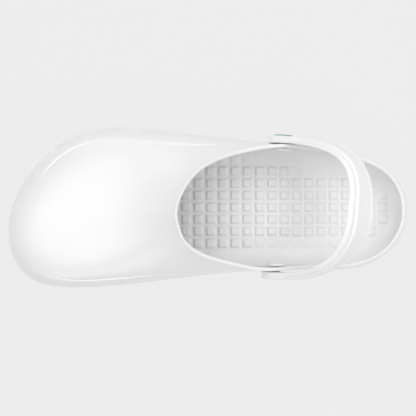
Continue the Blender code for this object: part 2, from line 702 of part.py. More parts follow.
def wall_outside(pivot, axis):
    """Place on the rivet's axis, counted from the pivot, that the upper's outer face reaches in to."""
    heights = np.linspace(SEARCH_FROM, 1.0, SEARCH_STEPS)
    places, climbs = (g.ravel() for g in np.meshgrid(LOOP.stations(SEARCH_STEPS), heights, indexing="ij"))
    offset = shell_points(places, climbs) - np.array(pivot)
    along = offset @ np.array(axis)
    aside = np.linalg.norm(offset - along[:, None] * np.array(axis), axis=1)
    under_cap = (aside < INNER_CAP_RADIUS) & (np.abs(along) < CUTTER_REACH)
    return float(along[under_cap].min())


def make_rivet(side_name, pivot, axis, finish):
    """Stud with a head outside the strap and a shank through strap and wall, and its inner cap."""
    face = STRAP_THICKNESS / 2.0 - HEAD_THICKNESS
    inside = wall_outside(pivot, axis) - WALL - CAP_CLEARANCE
    shank_end = inside - INNER_CAP_THICKNESS / 2.0
    stud = [
        (SHANK_RADIUS, shank_end),
        (SHANK_RADIUS, face),
        (HEAD_RADIUS, face),
        (HEAD_RADIUS, face + HEAD_THICKNESS - HEAD_EDGE),
        (HEAD_RADIUS - HEAD_EDGE, face + HEAD_THICKNESS),
    ]
    turned(f"rivet_stud_{side_name}", stud, pivot, axis, finish)
    cap = [
        (SHANK_RADIUS + GAP, inside),
        (INNER_CAP_RADIUS, inside),
        (INNER_CAP_RADIUS, inside - INNER_CAP_THICKNESS + INNER_CAP_EDGE),
        (INNER_CAP_RADIUS - INNER_CAP_EDGE, inside - INNER_CAP_THICKNESS),
        (SHANK_RADIUS + GAP, inside - INNER_CAP_THICKNESS),
    ]
    turned_ring(f"rivet_cap_{side_name}", cap, pivot, axis, finish)
    return face + HEAD_THICKNESS


def make_badge(pivot, axis, foot, finish):
    """The plain disc on a rivet's head."""
    top = foot + BADGE_THICKNESS
    disc = [
        (BADGE_RADIUS, foot),
        (BADGE_RADIUS, top - BADGE_EDGE),
        (BADGE_RADIUS - BADGE_EDGE, top),
    ]
    turned("rivet_badge", disc, pivot, axis, finish)


def stepped_plug(name, pivot, axis, seat, seat_radius):
    """A cutter for the shank's hole that widens to a flat seat from a given place outwards."""
    profile = [
        (SHANK_HOLE_RADIUS, -CUTTER_REACH),
        (SHANK_HOLE_RADIUS, seat),
        (seat_radius, seat),
        (seat_radius, CUTTER_REACH),
    ]
    return turned(name, profile, pivot, axis)


def main():
    for old in list(bpy.data.objects):
        bpy.data.objects.remove(old, do_unlink=True)
    foam, plastic = material(FOAM), material(PLASTIC)

    sole = make_sole(material(TREAD))
    cut(sole, make_tread_cutter())

    upper = make_upper(foam)
    for number, vent in enumerate(VENTS, 1):
        cut(upper, make_vent_cutter(number, vent))

    footbed = make_footbed(material(BED))
    cut(footbed, cavity_cutter(), "INTERSECT")

    strap = make_strap(foam)
    for side_name, pivot, axis in (
        ("lateral", PIVOT_LATERAL, STRAP.across),
        ("medial", PIVOT_MEDIAL, -STRAP.across),
    ):
        head_seat = STRAP_THICKNESS / 2.0 - HEAD_THICKNESS - GAP
        strap_seat = -STRAP_THICKNESS / 2.0 - GAP
        cut(strap, stepped_plug(f"head_seat_{side_name}", pivot, axis, head_seat, HEAD_RADIUS + GAP))
        cut(upper, stepped_plug(f"strap_seat_{side_name}", pivot, axis, strap_seat, STRAP_SEAT_RADIUS))
        head_top = make_rivet(side_name, pivot, axis, plastic)
        if side_name == "lateral":
            make_badge(pivot, axis, head_top + GAP, material(BADGE))


if __name__ == "__main__":
    main()
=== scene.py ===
"""Looks of a closed-toe work clog for the right foot, with a heel strap.

The file is laid out as an add-on. Property groups hold the sizes and colours, one operator makes
each piece or group of like pieces, and a panel in the 3D view's sidebar lists them. The toe points
along -X, the outer (lateral) side of the foot is +Y, the floor is z = 0 and lengths are in metres.
"""

import math
from collections import namedtuple

import bmesh
import bpy
import numpy as np
from bpy.props import FloatProperty, FloatVectorProperty, IntProperty, PointerProperty
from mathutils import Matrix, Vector


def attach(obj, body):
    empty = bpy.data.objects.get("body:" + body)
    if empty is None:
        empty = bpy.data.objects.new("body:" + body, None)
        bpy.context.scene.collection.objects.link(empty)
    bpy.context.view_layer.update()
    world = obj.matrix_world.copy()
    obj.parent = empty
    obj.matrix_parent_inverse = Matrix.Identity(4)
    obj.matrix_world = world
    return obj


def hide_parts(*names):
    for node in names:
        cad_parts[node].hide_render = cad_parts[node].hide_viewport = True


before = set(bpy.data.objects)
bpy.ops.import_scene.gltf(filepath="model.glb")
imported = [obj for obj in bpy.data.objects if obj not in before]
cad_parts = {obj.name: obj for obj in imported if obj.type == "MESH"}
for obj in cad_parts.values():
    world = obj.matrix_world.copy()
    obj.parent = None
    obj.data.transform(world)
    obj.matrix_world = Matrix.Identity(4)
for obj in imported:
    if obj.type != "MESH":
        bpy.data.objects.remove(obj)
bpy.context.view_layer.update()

bl_info = {
    "name": "Work clog",
    "version": (1, 0, 0),
    "blender": (4, 5, 0),
    "location": "3D View > Sidebar > Clog",
    "description": "Builds the finished surfaces of a moulded foam work clog",
    "category": "Object",
}

MM = 0.001

# Driving dimensions of the foot form
LENGTH = 286.0 * MM
BALL_WIDTH = 115.0 * MM
THROAT_HEIGHT = 98.5 * MM
HEEL_RIM_HEIGHT = 54.0 * MM
TOE_TO_ORIGIN = 142.1 * MM
AXIS_TO_ORIGIN = 0.62 * MM
WALL = 2.6 * MM
GAP = 0.3 * MM

# Rolled rim of the collar: the climb that it is aimed from, how strongly its crown turns upwards, and
# the power that squares its section
RIM_AIM = 0.98
RIM_LEVEL = 1.2
RIM_SQUARE = 0.5

# Sole
BALL_EDGE_HEIGHT = 22.5 * MM
HEEL_EDGE_HEIGHT = 28.5 * MM
TOE_EDGE_EXTRA = 3.5 * MM
EDGE_RISE_START = 0.28
EDGE_RISE_LENGTH = 0.5
TOE_SPRING = 10.0 * MM
TOE_SPRING_END = 0.22
ARCH_LIFT = 5.0 * MM
ARCH_START = 0.47
ARCH_END = 0.73
HEEL_BEVEL = 3.0 * MM
HEEL_BEVEL_START = 0.95
GROOVE_WIDTH = 2.8 * MM
GROOVE_DEPTH = 2.4 * MM
GROOVE_PITCH = 11.0 * MM
GROOVE_LENGTH = 138.0 * MM
FOREFOOT_GROOVES = 8
FOREFOOT_GROOVE_START = 0.135
HEEL_GROOVES = 5
HEEL_GROOVE_START = 0.785

# Footbed
FOOTBED_THICKNESS = 4.0 * MM
CUP_REACH = 16.0 * MM
HEEL_CUP = 11.0 * MM
TOE_CUP = 6.0 * MM
CUP_RISE_START = 0.35
CUP_RISE_LENGTH = 0.3
FOOTBED_CLEARANCE = 0.12 * MM
FOOTBED_CLIMB = 0.6

# Pads of the footbed. Their border leaves the wall from ARCH_FROM on the medial side and from HEEL_FROM
# on the lateral side, and comes back to it at HEEL_TO, each time over CUP_RUN.
PAD_SUNK = 0.4 * MM
PAD_SOFT = 0.25 * MM
PAD_LEAST_SHARE = 0.02
ARCH_FROM = 5.0 * MM
HEEL_FROM = 35.0 * MM
HEEL_TO = 120.0 * MM
CUP_RUN = 40.0 * MM

# Vent slots through the lateral wall of the forefoot
Vent = namedtuple("Vent", "along climb")
VENTS = (Vent(0.108, 0.11), Vent(0.205, 0.13), Vent(0.312, 0.155), Vent(0.409, 0.18))
VENT_CUT_DEPTH = 8.0 * MM

# Heel strap, which stands up at an angle on its two rivets
PIVOT_LATERAL = Vector((53.8, 47.4, 57.0)) * MM
PIVOT_MEDIAL = Vector((48.1, -48.2, 57.0)) * MM
STRAP_ANGLE = math.radians(40.0)
STRAP_REACH = 69.9 * MM
STRAP_SQUARE_LATERAL = 2.95
STRAP_SQUARE_MEDIAL = 2.2
STRAP_TUCK_LATERAL = math.radians(3.5)
STRAP_TUCK_MEDIAL = math.radians(6.9)
STRAP_TWIST_LATERAL = math.radians(5.5)
STRAP_THICKNESS = 5.2 * MM
STRAP_END_WIDTH = 19.6 * MM
STRAP_BACK_WIDTH = 24.2 * MM
STRAP_LIP_RECESS_SIDE = 2.4 * MM
STRAP_LIP_RECESS_BACK = 1.5 * MM
STRAP_SOFT_EDGE = 0.6 * MM
STRAP_TIP = 0.15 * MM

# Rivets
SHANK_RADIUS = 3.0 * MM
SHANK_HOLE_RADIUS = 3.4 * MM
STRAP_SEAT_RADIUS = STRAP_END_WIDTH / 2.0 + 1.2 * MM
CUTTER_REACH = 12.0 * MM
HEAD_RADIUS = 7.0 * MM
HEAD_THICKNESS = 1.4 * MM
HEAD_EDGE = 0.5 * MM
INNER_CAP_RADIUS = 6.5 * MM
INNER_CAP_THICKNESS = 1.8 * MM
INNER_CAP_EDGE = 0.7 * MM
CAP_CLEARANCE = 0.45 * MM
SHANK_PLAY = 0.1 * MM
BADGE_RADIUS = 6.8 * MM
BADGE_THICKNESS = 0.8 * MM
BADGE_SHOULDER = 1.6 * MM
BADGE_EDGE = 0.1 * MM
BADGE_RECESS_STEP = 0.3 * MM
BADGE_CLEARANCE = 0.1 * MM

# Sharpest bend in degrees that is shaded smooth
UPPER_SMOOTH = 38.0
SOLE_SMOOTH = 30.0
STRAP_SMOOTH = 40.0
SMALL_SMOOTH = 35.0

# Roughness of the surfaces that have no setting of their own
SOLE_ROUGHNESS = 0.55
FOOTBED_ROUGHNESS = 0.5
PLASTIC_ROUGHNESS = 0.3

FLOOR_HALF_WIDTH = 20.0

# Mesh density. A rounded corner takes at most CORNER_SHARE of a side, the rings of a turned face stand
# between two shares of its radius, and the wall under a rivet is looked for from SEARCH_FROM upwards.
SIDE_STEPS = 130
BELOW_RINGS = 14
LEDGE_RINGS = 9
ABOVE_RINGS = 40
INNER_RINGS = 34
RIM_STEPS = 10
CUP_RINGS = 22
STRAP_STEPS = 170
STRAP_END_STEPS = 16
TURN_STEPS = 64
EDGE_STEPS = 6
BADGE_EDGE_STEPS = 8
FACE_RINGS = 8
FACE_RING_SHARES = (0.85, 0.05)
VENT_ROUND_STEPS = 12
VENT_LIP_STEPS = 6
PAD_CORNER_STEPS = 3
CORNER_STEPS = 4
CORNER_SHARE = 0.45
FINE_SAMPLES = 4000
SEARCH_STEPS = 100
SEARCH_FROM = 0.2

# One row for each section. along is the share of LENGTH from the toe line, across the share of
# BALL_WIDTH from the heel's axis, and climb the share of the way from heel rim to throat height.
# shoulder and reach are the lengths of the section curve's handles, lean its slope at the collar
# in degrees, ledge_at the place of the bumper's ledge on the curve and ledge its depth in mm.
Section = namedtuple(
    "Section", "name along across collar_along collar_across climb shoulder lean reach ledge_at ledge"
)
SECTIONS = (
    Section("heel back", 1.001, 0.000, 0.988, 0.000, 0.00, 0.45, 82, 0.35, 0.34, 0.0),
    Section("heel corner lateral", 0.966, 0.208, 0.955, 0.203, 0.00, 0.45, 82, 0.35, 0.36, 0.0),
    Section("heel side lateral", 0.891, 0.325, 0.882, 0.311, 0.03, 0.45, 82, 0.35, 0.40, 0.0),
    Section("pivot lateral", 0.774, 0.382, 0.766, 0.370, 0.14, 0.32, 88, 0.40, 0.46, 0.0),
    Section("waist lateral", 0.622, 0.420, 0.669, 0.388, 0.33, 0.34, 80, 0.42, 0.55, 0.0),
    Section("shank lateral", 0.484, 0.453, 0.570, 0.343, 0.53, 0.58, 58, 0.34, 0.68, 0.3),
    Section("ball lateral", 0.357, 0.486, 0.498, 0.273, 0.76, 0.64, 54, 0.40, 0.60, 1.2),
    Section("joint lateral", 0.256, 0.493, 0.459, 0.192, 0.90, 0.65, 50, 0.45, 0.46, 1.2),
    Section("toe bend lateral", 0.171, 0.451, 0.438, 0.114, 0.97, 0.66, 47, 0.49, 0.32, 1.1),
    Section("toe corner lateral", 0.097, 0.337, 0.427, 0.054, 0.99, 0.66, 45, 0.51, 0.26, 0.8),
    Section("toe front lateral", 0.036, 0.165, 0.422, 0.006, 1.00, 0.66, 45, 0.52, 0.26, 0.1),
    Section("toe tip", -0.002, -0.088, 0.420, -0.038, 1.00, 0.66, 45, 0.52, 0.26, 0.0),
    Section("toe front medial", 0.012, -0.324, 0.423, -0.089, 0.99, 0.66, 45, 0.52, 0.24, 0.0),
    Section("toe corner medial", 0.066, -0.457, 0.430, -0.149, 0.98, 0.66, 45, 0.51, 0.28, 0.3),
    Section("toe bend medial", 0.168, -0.491, 0.444, -0.215, 0.93, 0.66, 48, 0.47, 0.35, 0.8),
    Section("ball medial", 0.294, -0.475, 0.483, -0.286, 0.81, 0.66, 54, 0.41, 0.48, 0.5),
    Section("shank medial", 0.446, -0.432, 0.556, -0.344, 0.59, 0.58, 59, 0.34, 0.50, 0.1),
    Section("waist medial", 0.610, -0.389, 0.645, -0.384, 0.33, 0.40, 80, 0.38, 0.46, 0.0),
    Section("pivot medial", 0.761, -0.382, 0.759, -0.368, 0.14, 0.45, 84, 0.35, 0.40, 0.0),
    Section("heel side medial", 0.886, -0.365, 0.875, -0.349, 0.03, 0.45, 82, 0.35, 0.36, 0.0),
    Section("heel corner medial", 0.968, -0.234, 0.957, -0.226, 0.00, 0.45, 82, 0.35, 0.34, 0.0),
)

# The sole's side from its top edge down to the tread: inset from the upper's edge in mm, and
# share of the sole's edge height.
SideStep = namedtuple("SideStep", "name inset height")
SOLE_SIDE = (
    SideStep("top edge", 1.0, 1.00),
    SideStep("upper band", 0.3, 0.95),
    SideStep("upper band foot", 0.3, 0.64),
    SideStep("groove roof", 1.5, 0.60),
    SideStep("groove floor", 1.5, 0.54),
    SideStep("lower band", 0.5, 0.50),
    SideStep("lower band foot", 1.6, 0.20),
    SideStep("tread bevel", 2.8, 0.06),
    SideStep("tread edge", 4.4, 0.00),
)
SOLE_ROUNDING = 0.7 * MM

# The steps of the strap's outer face, from its top edge down: recessed lip, groove, bead, sunk panel
# and border. inset is the distance in mm from the named edge, and the step lies back by a share of
# the named depth.
FaceStep = namedtuple("FaceStep", "name edge inset depth share")
STRAP_FACE = (
    FaceStep("lip", "top", -1.5, "lip", 1.0),
    FaceStep("groove top", "top", -2.2, "lip", 1.3),
    FaceStep("groove foot", "top", -4.5, "lip", 1.3),
    FaceStep("bead top", "top", -5.2, "lip", 0.1),
    FaceStep("bead", "top", -5.6, "panel", 0.0),
    FaceStep("bead foot", "top", -6.1, "panel", 0.0),
    FaceStep("panel top", "top", -6.6, "panel", 1.0),
    FaceStep("panel bottom", "bottom", 3.2, "panel", 1.0),
    FaceStep("border", "bottom", 2.6, "panel", 0.0),
    FaceStep("border foot", "bottom", 0.6, "panel", 0.0),
)
STRAP_ROUNDING = 0.45 * MM


# Settings that a user would change


def length_setting(name, description, default):
    return FloatProperty(name=name, description=description, default=default, unit="LENGTH")


def share_setting(name, description, default, low=0.0, high=1.0):
    return FloatProperty(
        name=name, description=description, default=default, min=low, max=high, subtype="FACTOR"
    )


def power_setting(name, description, default):
    return FloatProperty(name=name, description=description, default=default, unit="POWER")


def colour_setting(name, description, *default):
    return FloatVectorProperty(name=name, description=description, default=default, subtype="COLOR")


class ClogShell(bpy.types.PropertyGroup):
    """The moulded upper and its vents."""

    ledge_softness: share_setting(
        "Ledge softness", "Share of the climb over which the bumper's ledge runs out", 0.006, 0.002, 0.05
    )
    vent_length: length_setting("Vent length", "Length of a vent slot", 11.5 * MM)
    vent_width: length_setting("Vent width", "Height of a vent slot", 5.0 * MM)
    vent_lip: length_setting("Vent lip", "Rounding of a vent's outer edge", 1.0 * MM)


class ClogFootbed(bpy.types.PropertyGroup):
    """The square pads of the footbed."""

    pad_side: length_setting("Pad side", "Side of a pad at its foot", 7.4 * MM)
    pad_draft: length_setting("Pad draft", "How far a pad's side leans in", 1.3 * MM)
    pad_height: length_setting("Pad height", "Height of a full pad", 1.8 * MM)
    pad_corner: length_setting("Pad corner", "Radius of a pad's corners", 0.6 * MM)
    pitch_along: length_setting("Pitch along", "Spacing along the foot", 8.85 * MM)
    pitch_across: length_setting("Pitch across", "Spacing across the foot", 8.65 * MM)
    first_along: length_setting("First column", "Place of the pads nearest the toe", -112.3 * MM)
    first_across: length_setting("First row", "Place of the row nearest the medial side", -34.7 * MM)
    columns: IntProperty(name="Columns", description="Pads along the foot", default=28, min=1)
    rows: IntProperty(name="Rows", description="Pads across the foot", default=9, min=1)
    edge_margin: length_setting("Edge margin", "Bare strip beside the wall", 8.5 * MM)
    edge_fade: length_setting("Edge fade", "Strip where the pads rise to full height", 8.0 * MM)
    cup_margin: length_setting("Cup margin", "Further bare strip along arch and heel", 4.6 * MM)


class ClogStrap(bpy.types.PropertyGroup):
    """The heel strap and its rivets."""

    panel_depth: length_setting("Panel depth", "Depth of the face between bead and border", 0.6 * MM)
    cap_dome: length_setting("Cap dome", "Rise of the middle of a rivet's inner cap", 0.25 * MM)


class ClogFinish(bpy.types.PropertyGroup):
    """Colours and surfaces."""

    foam: colour_setting("Upper foam", "Colour of the upper", 0.88, 0.88, 0.88)
    strap: colour_setting("Strap foam", "Colour of the strap", 0.91, 0.91, 0.91)
    sole: colour_setting("Sole foam", "Colour of the sole", 0.83, 0.83, 0.83)
    bed: colour_setting("Footbed foam", "Colour of the footbed", 0.89, 0.89, 0.89)
    rivet: colour_setting("Rivet plastic", "Colour of the rivets", 0.88, 0.88, 0.88)
    badge: colour_setting("Badge plastic", "Colour of the disc", 0.15, 0.31, 0.27)
    foam_roughness: share_setting("Foam roughness", "Mean roughness of upper and strap", 0.34)
    grain: length_setting("Grain", "Size of the foam's fine grain", 0.7 * MM)
    grain_depth: length_setting("Grain depth", "Depth of the foam's fine grain", 0.02 * MM)


class ClogStage(bpy.types.PropertyGroup):
    """Floor, light and camera."""

    floor_tone: share_setting("Floor tone", "Brightness of the floor", 0.847)
    room_tone: share_setting("Room tone", "Brightness of the surroundings", 0.68)
    floor_shade: share_setting("Floor shade", "Share of the floor that takes shadows", 0.05)
    key_power: power_setting("Key light", "Power of the softboxes overhead", 5.8)
    sheen_power: power_setting("Sheen", "Power of the panels that show in the skin's gloss", 30.0)
    camera_height: length_setting("Camera height", "Height of the camera over the floor", 1.2)
    view_width: length_setting("View width", "Width of floor that the image takes in", 307.84 * MM)
    view_centre: FloatVectorProperty(
        name="View centre",
        description="Point under the camera",
        default=(0.9 * MM, -0.62 * MM),
        size=2,
        unit="LENGTH",
    )


class ClogSettings(bpy.types.PropertyGroup):
    """All settings of the clog."""

    shell: PointerProperty(type=ClogShell)
    footbed: PointerProperty(type=ClogFootbed)
    strap: PointerProperty(type=ClogStrap)
    finish: PointerProperty(type=ClogFinish)
    stage: PointerProperty(type=ClogStage)


# The foot form


def smoothstep(value):
    value = np.clip(value, 0.0, 1.0)
    return value * value * (3.0 - 2.0 * value)


def along_of(x):
    """Share of the length from the toe line at a place x."""
    return (x + TOE_TO_ORIGIN) / LENGTH


def x_of(along):
    return along * LENGTH - TOE_TO_ORIGIN


def y_of(across):
    return across * BALL_WIDTH - AXIS_TO_ORIGIN


def ground_lift(x):
    """Height of the tread's face over the floor: toe spring, arch and heel bevel."""
    along = along_of(x)
    toe = TOE_SPRING * np.clip(1.0 - along / TOE_SPRING_END, 0.0, 1.0) ** 2
    arch_place = np.clip((along - ARCH_START) / (ARCH_END - ARCH_START), 0.0, 1.0)
    arch = ARCH_LIFT * np.sin(math.pi * arch_place) ** 2
    heel_place = np.clip((along - HEEL_BEVEL_START) / (1.0 - HEEL_BEVEL_START), 0.0, 1.0)
    return toe + arch + HEEL_BEVEL * heel_place**2


def edge_height(x):
    """Height of the line where upper and sole meet."""
    along = along_of(x)
    rise = (HEEL_EDGE_HEIGHT - BALL_EDGE_HEIGHT) * smoothstep((along - EDGE_RISE_START) / EDGE_RISE_LENGTH)
    toe = TOE_EDGE_EXTRA * np.clip(1.0 - along / TOE_SPRING_END, 0.0, 1.0) ** 2
    return BALL_EDGE_HEIGHT + rise + toe


class SectionLoop:
    """A smooth closed run of sections round the foot, read at any place on it."""

    def __init__(self, rows):
        self.values = np.array([row[1:] for row in rows], float)
        outline = self.values[:, 0:2] * (LENGTH, BALL_WIDTH)
        collar = self.values[:, 2:4] * (LENGTH, BALL_WIDTH)
        middle = (outline + collar) / 2.0
        self.steps = np.linalg.norm(np.roll(middle, -1, axis=0) - middle, axis=1)
        self.knots = np.concatenate([[0.0], np.cumsum(self.steps)])
        self.bends = self.solve_bends()

    def solve_bends(self):
        """Second derivatives of a periodic cubic spline through every column."""
        count = len(self.steps)
        after = self.steps
        before = np.roll(after, 1)
        system = np.zeros((count, count))
        for i in range(count):
            system[i, i - 1] += before[i]
            system[i, i] += 2.0 * (before[i] + after[i])
            system[i, (i + 1) % count] += after[i]
        ahead = (np.roll(self.values, -1, axis=0) - self.values) / after[:, None]
        behind = np.roll(ahead, 1, axis=0)
        return np.linalg.solve(system, 6.0 * (ahead - behind))

    def read(self, place):
        """All columns at an array of places along the loop."""
        place = np.mod(place, self.knots[-1])
        i = np.clip(np.searchsorted(self.knots, place, side="right") - 1, 0, len(self.steps) - 1)
        j = (i + 1) % len(self.steps)
        step = self.steps[i][:, None]
        right = (place - self.knots[i])[:, None] / step
        left = 1.0 - right
        bend = (left**3 - left) * self.bends[i] + (right**3 - right) * self.bends[j]
        return left * self.values[i] + right * self.values[j] + bend * step**2 / 6.0

    def stations(self, steps):
        """Places with the same spread of x on both sides, from heel back over the lateral side."""
        total = self.knots[-1]
        fine = np.linspace(-0.25 * total, 0.75 * total, FINE_SAMPLES)
        along = self.read(fine)[:, 0]
        heel, toe = int(np.argmax(along)), int(np.argmin(along))
        shares = 0.5 - 0.5 * np.cos(np.linspace(0.0, math.pi, steps + 1))
        wanted = along[heel] + (along[toe] - along[heel]) * shares
        lateral = np.interp(-wanted, -along[heel : toe + 1], fine[heel : toe + 1])
        fine_medial = np.linspace(fine[toe], fine[heel] + total, FINE_SAMPLES)
        along_medial = self.read(fine_medial)[:, 0]
        medial = np.interp(wanted[::-1], along_medial, fine_medial)
        return np.concatenate([lateral, medial[1:-1]])


LOOP = SectionLoop(SECTIONS)
PLACES = LOOP.stations(SIDE_STEPS)


def shell_points(places, climb):
    """Points of the upper's smooth outer face. climb runs from 0 at the sole to 1 at the collar."""
    row = LOOP.read(places).T
    along, across, collar_along, collar_across, collar_climb, shoulder, lean, reach = row[:8]
    outline = np.column_stack([x_of(along), y_of(across)])
    collar = np.column_stack([x_of(collar_along), y_of(collar_across)])
    collar_height = HEEL_RIM_HEIGHT + collar_climb * (THROAT_HEIGHT - HEEL_RIM_HEIGHT)
    foot = edge_height(outline[:, 0]) + GAP
    inward = collar - outline
    depth = np.linalg.norm(inward, axis=1)
    inward = inward / depth[:, None]
    rise = collar_height - foot
    lean = np.radians(lean)
    handle = reach * np.hypot(depth, rise)
    in_knots = (np.zeros_like(depth), np.zeros_like(depth), depth - handle * np.cos(lean), depth)
    up_knots = (foot, foot + shoulder * rise, collar_height - handle * np.sin(lean), collar_height)
    climb = np.clip(climb, 0.0, 1.0)
    weights = ((1 - climb) ** 3, 3 * climb * (1 - climb) ** 2, 3 * climb**2 * (1 - climb), climb**3)
    inset = sum(w * k for w, k in zip(weights, in_knots))
    height = sum(w * k for w, k in zip(weights, up_knots))
    return np.column_stack([outline + inward * inset[:, None], height])


def shell_normals(places, climb):
    """Outward directions of the upper's outer face."""
    small = 1e-3
    low = np.clip(climb - small, 0.0, 1.0)
    high = np.clip(climb + small, 0.0, 1.0)
    round_foot = shell_points(places + small * LENGTH, climb) - shell_points(places - small * LENGTH, climb)
    upward = shell_points(places, high) - shell_points(places, low)
    normal = np.cross(round_foot, upward)
    return normal / np.linalg.norm(normal, axis=1)[:, None]


def shell_ring(climb, offset, places=PLACES):
    """One closed ring of the shell, moved along its outward direction."""
    climb = np.broadcast_to(climb, places.shape).astype(float)
    offset = np.broadcast_to(offset, places.shape)
    return shell_points(places, climb) + shell_normals(places, climb) * offset[:, None]


def plan_normals(line):
    """Outward directions of a closed plan line that runs from the heel over the lateral side."""
    run = np.roll(line, -1, axis=0) - np.roll(line, 1, axis=0)
    run /= np.linalg.norm(run, axis=1)[:, None]
    return np.column_stack([run[:, 1], -run[:, 0]])


# Meshes and finished pieces


def mesh_object(name, points, faces):
    """A mesh object with its faces turned outwards."""
    mesh = bpy.data.meshes.new(name)
    mesh.from_pydata([tuple(p) for p in points], [], faces)
    work = bmesh.new()
    work.from_mesh(mesh)
    bmesh.ops.recalc_face_normals(work, faces=work.faces)
    work.to_mesh(mesh)
    work.free()
    made = bpy.data.objects.new(name, mesh)
    bpy.context.scene.collection.objects.link(made)
    return made


def strips(rings, wrap):
    """Quads between neighbouring rings of equal length. wrap also joins the last to the first."""
    count = len(rings[0])
    faces = []
    for k in range(len(rings) if wrap else len(rings) - 1):
        a, b = k * count, (k + 1) % len(rings) * count
        for i in range(count):
            j = (i + 1) % count
            faces.append((a + i, a + j, b + j, b + i))
    return faces


def ladder(start, count):
    """Faces that fill a ring of points, each rung joining the two sides of the foot."""
    half = count // 2
    faces = [(start, start + 1, start + count - 1)]
    for i in range(1, half - 1):
        faces.append((start + i, start + i + 1, start + count - i - 1, start + count - i))
    faces.append((start + half - 1, start + half, start + half + 1))
    return faces


def capped(rings):
    """Points and faces of a stack of rings, with a flat face at each end."""
    points = [p for ring in rings for p in ring]
    count = len(rings[0])
    last = len(points) - count
    return points, strips(rings, wrap=False) + [tuple(range(count)), tuple(range(last, last + count))]


def foot_solid(rings):
    """Points and faces of a stack of rings round the foot, with a ladder at each end."""
    count = len(PLACES)
    ends = ladder(0, count) + ladder((len(rings) - 1) * count, count)
    return np.concatenate(rings), strips(rings, wrap=False) + ends


def joined(shapes):
    """Points and faces of several shapes as one list of each."""
    points, faces = [], []
    for shape_points, shape_faces in shapes:
        first = len(points)
        points += list(shape_points)
        faces += [tuple(first + i for i in face) for face in shape_faces]
    return points, faces


def settle(made):
    """Puts what the modifiers make into the object's own mesh and takes them off."""
    bpy.context.view_layer.update()
    seen = made.evaluated_get(bpy.context.evaluated_depsgraph_get())
    mesh = bpy.data.meshes.new_from_object(seen)
    made.modifiers.clear()
    old = made.data
    made.data = mesh
    bpy.data.meshes.remove(old)
    mesh.name = made.name


def drop(*helpers):
    for helper in helpers:
        bpy.data.objects.remove(helper, do_unlink=True)


def cut_away(target, shapes):
    """Cuts shapes, given as points and faces, out of the target."""
    cutter = mesh_object(target.name + "_cutter", *joined(shapes))
    boolean = target.modifiers.new("cut", "BOOLEAN")
    boolean.operation = "DIFFERENCE"
    boolean.solver = "EXACT"
    boolean.object = cutter
    settle(target)
    drop(cutter)


def finish_piece(made, nodes, finish, smooth_angle):
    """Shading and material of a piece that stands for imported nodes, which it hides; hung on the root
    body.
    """
    made.data.shade_smooth()
    made.data.set_sharp_from_angle(angle=math.radians(smooth_angle))
    made.data.materials.clear()
    made.data.materials.append(finish)
    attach(made, "root")
    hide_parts(*nodes)


def rounded(line, radius, closed):
    """The line with each corner cut back and turned in a short curve."""
    line = np.array(line, float)
    made = []
    for i, here in enumerate(line):
        if not closed and i in (0, len(line) - 1):
            made.append(here)
            continue
        ends = []
        for other in (line[i - 1], line[(i + 1) % len(line)]):
            length = np.linalg.norm(other - here)
            ends.append(here + (other - here) * min(radius / length, CORNER_SHARE))
        for t in np.linspace(0.0, 1.0, CORNER_STEPS):
            made.append((1 - t) ** 2 * ends[0] + 2 * t * (1 - t) * here + t**2 * ends[1])
    return np.array(made)


def turned_solid(profile, origin, axis):
    """Points and faces of a solid turned about an axis. profile holds (radius, outward) pairs."""
    first = Vector((0.0, 0.0, 1.0)).cross(axis)
    first = first.normalized() if first.length > 0.0 else Vector((1.0, 0.0, 0.0))
    second = axis.cross(first)
    angles = [2.0 * math.pi * k / TURN_STEPS for k in range(TURN_STEPS)]
    turn = [first * math.cos(a) + second * math.sin(a) for a in angles]
    return capped([[origin + axis * outward + t * radius for t in turn] for radius, outward in profile])


def round_edge(radius, height, width, rise, steps=EDGE_STEPS):
    """A turned solid's rounded edge, which ends at the given height, as (radius, outward) pairs."""
    turns = np.linspace(0.0, 0.5 * math.pi, steps)
    return [(radius - width + width * math.cos(t), height - rise + rise * math.sin(t)) for t in turns]


def turned_face(radius, height, dome):
    """Rings of a turned solid's end face, which rises by dome to its middle."""
    shares = np.linspace(*FACE_RING_SHARES, FACE_RINGS)
    return [(radius * share, height + dome * (1.0 - share**2)) for share in shares]


# Materials

# The values between which nearly all of a noise lies
NOISE_RANGE = (0.3, 0.7)


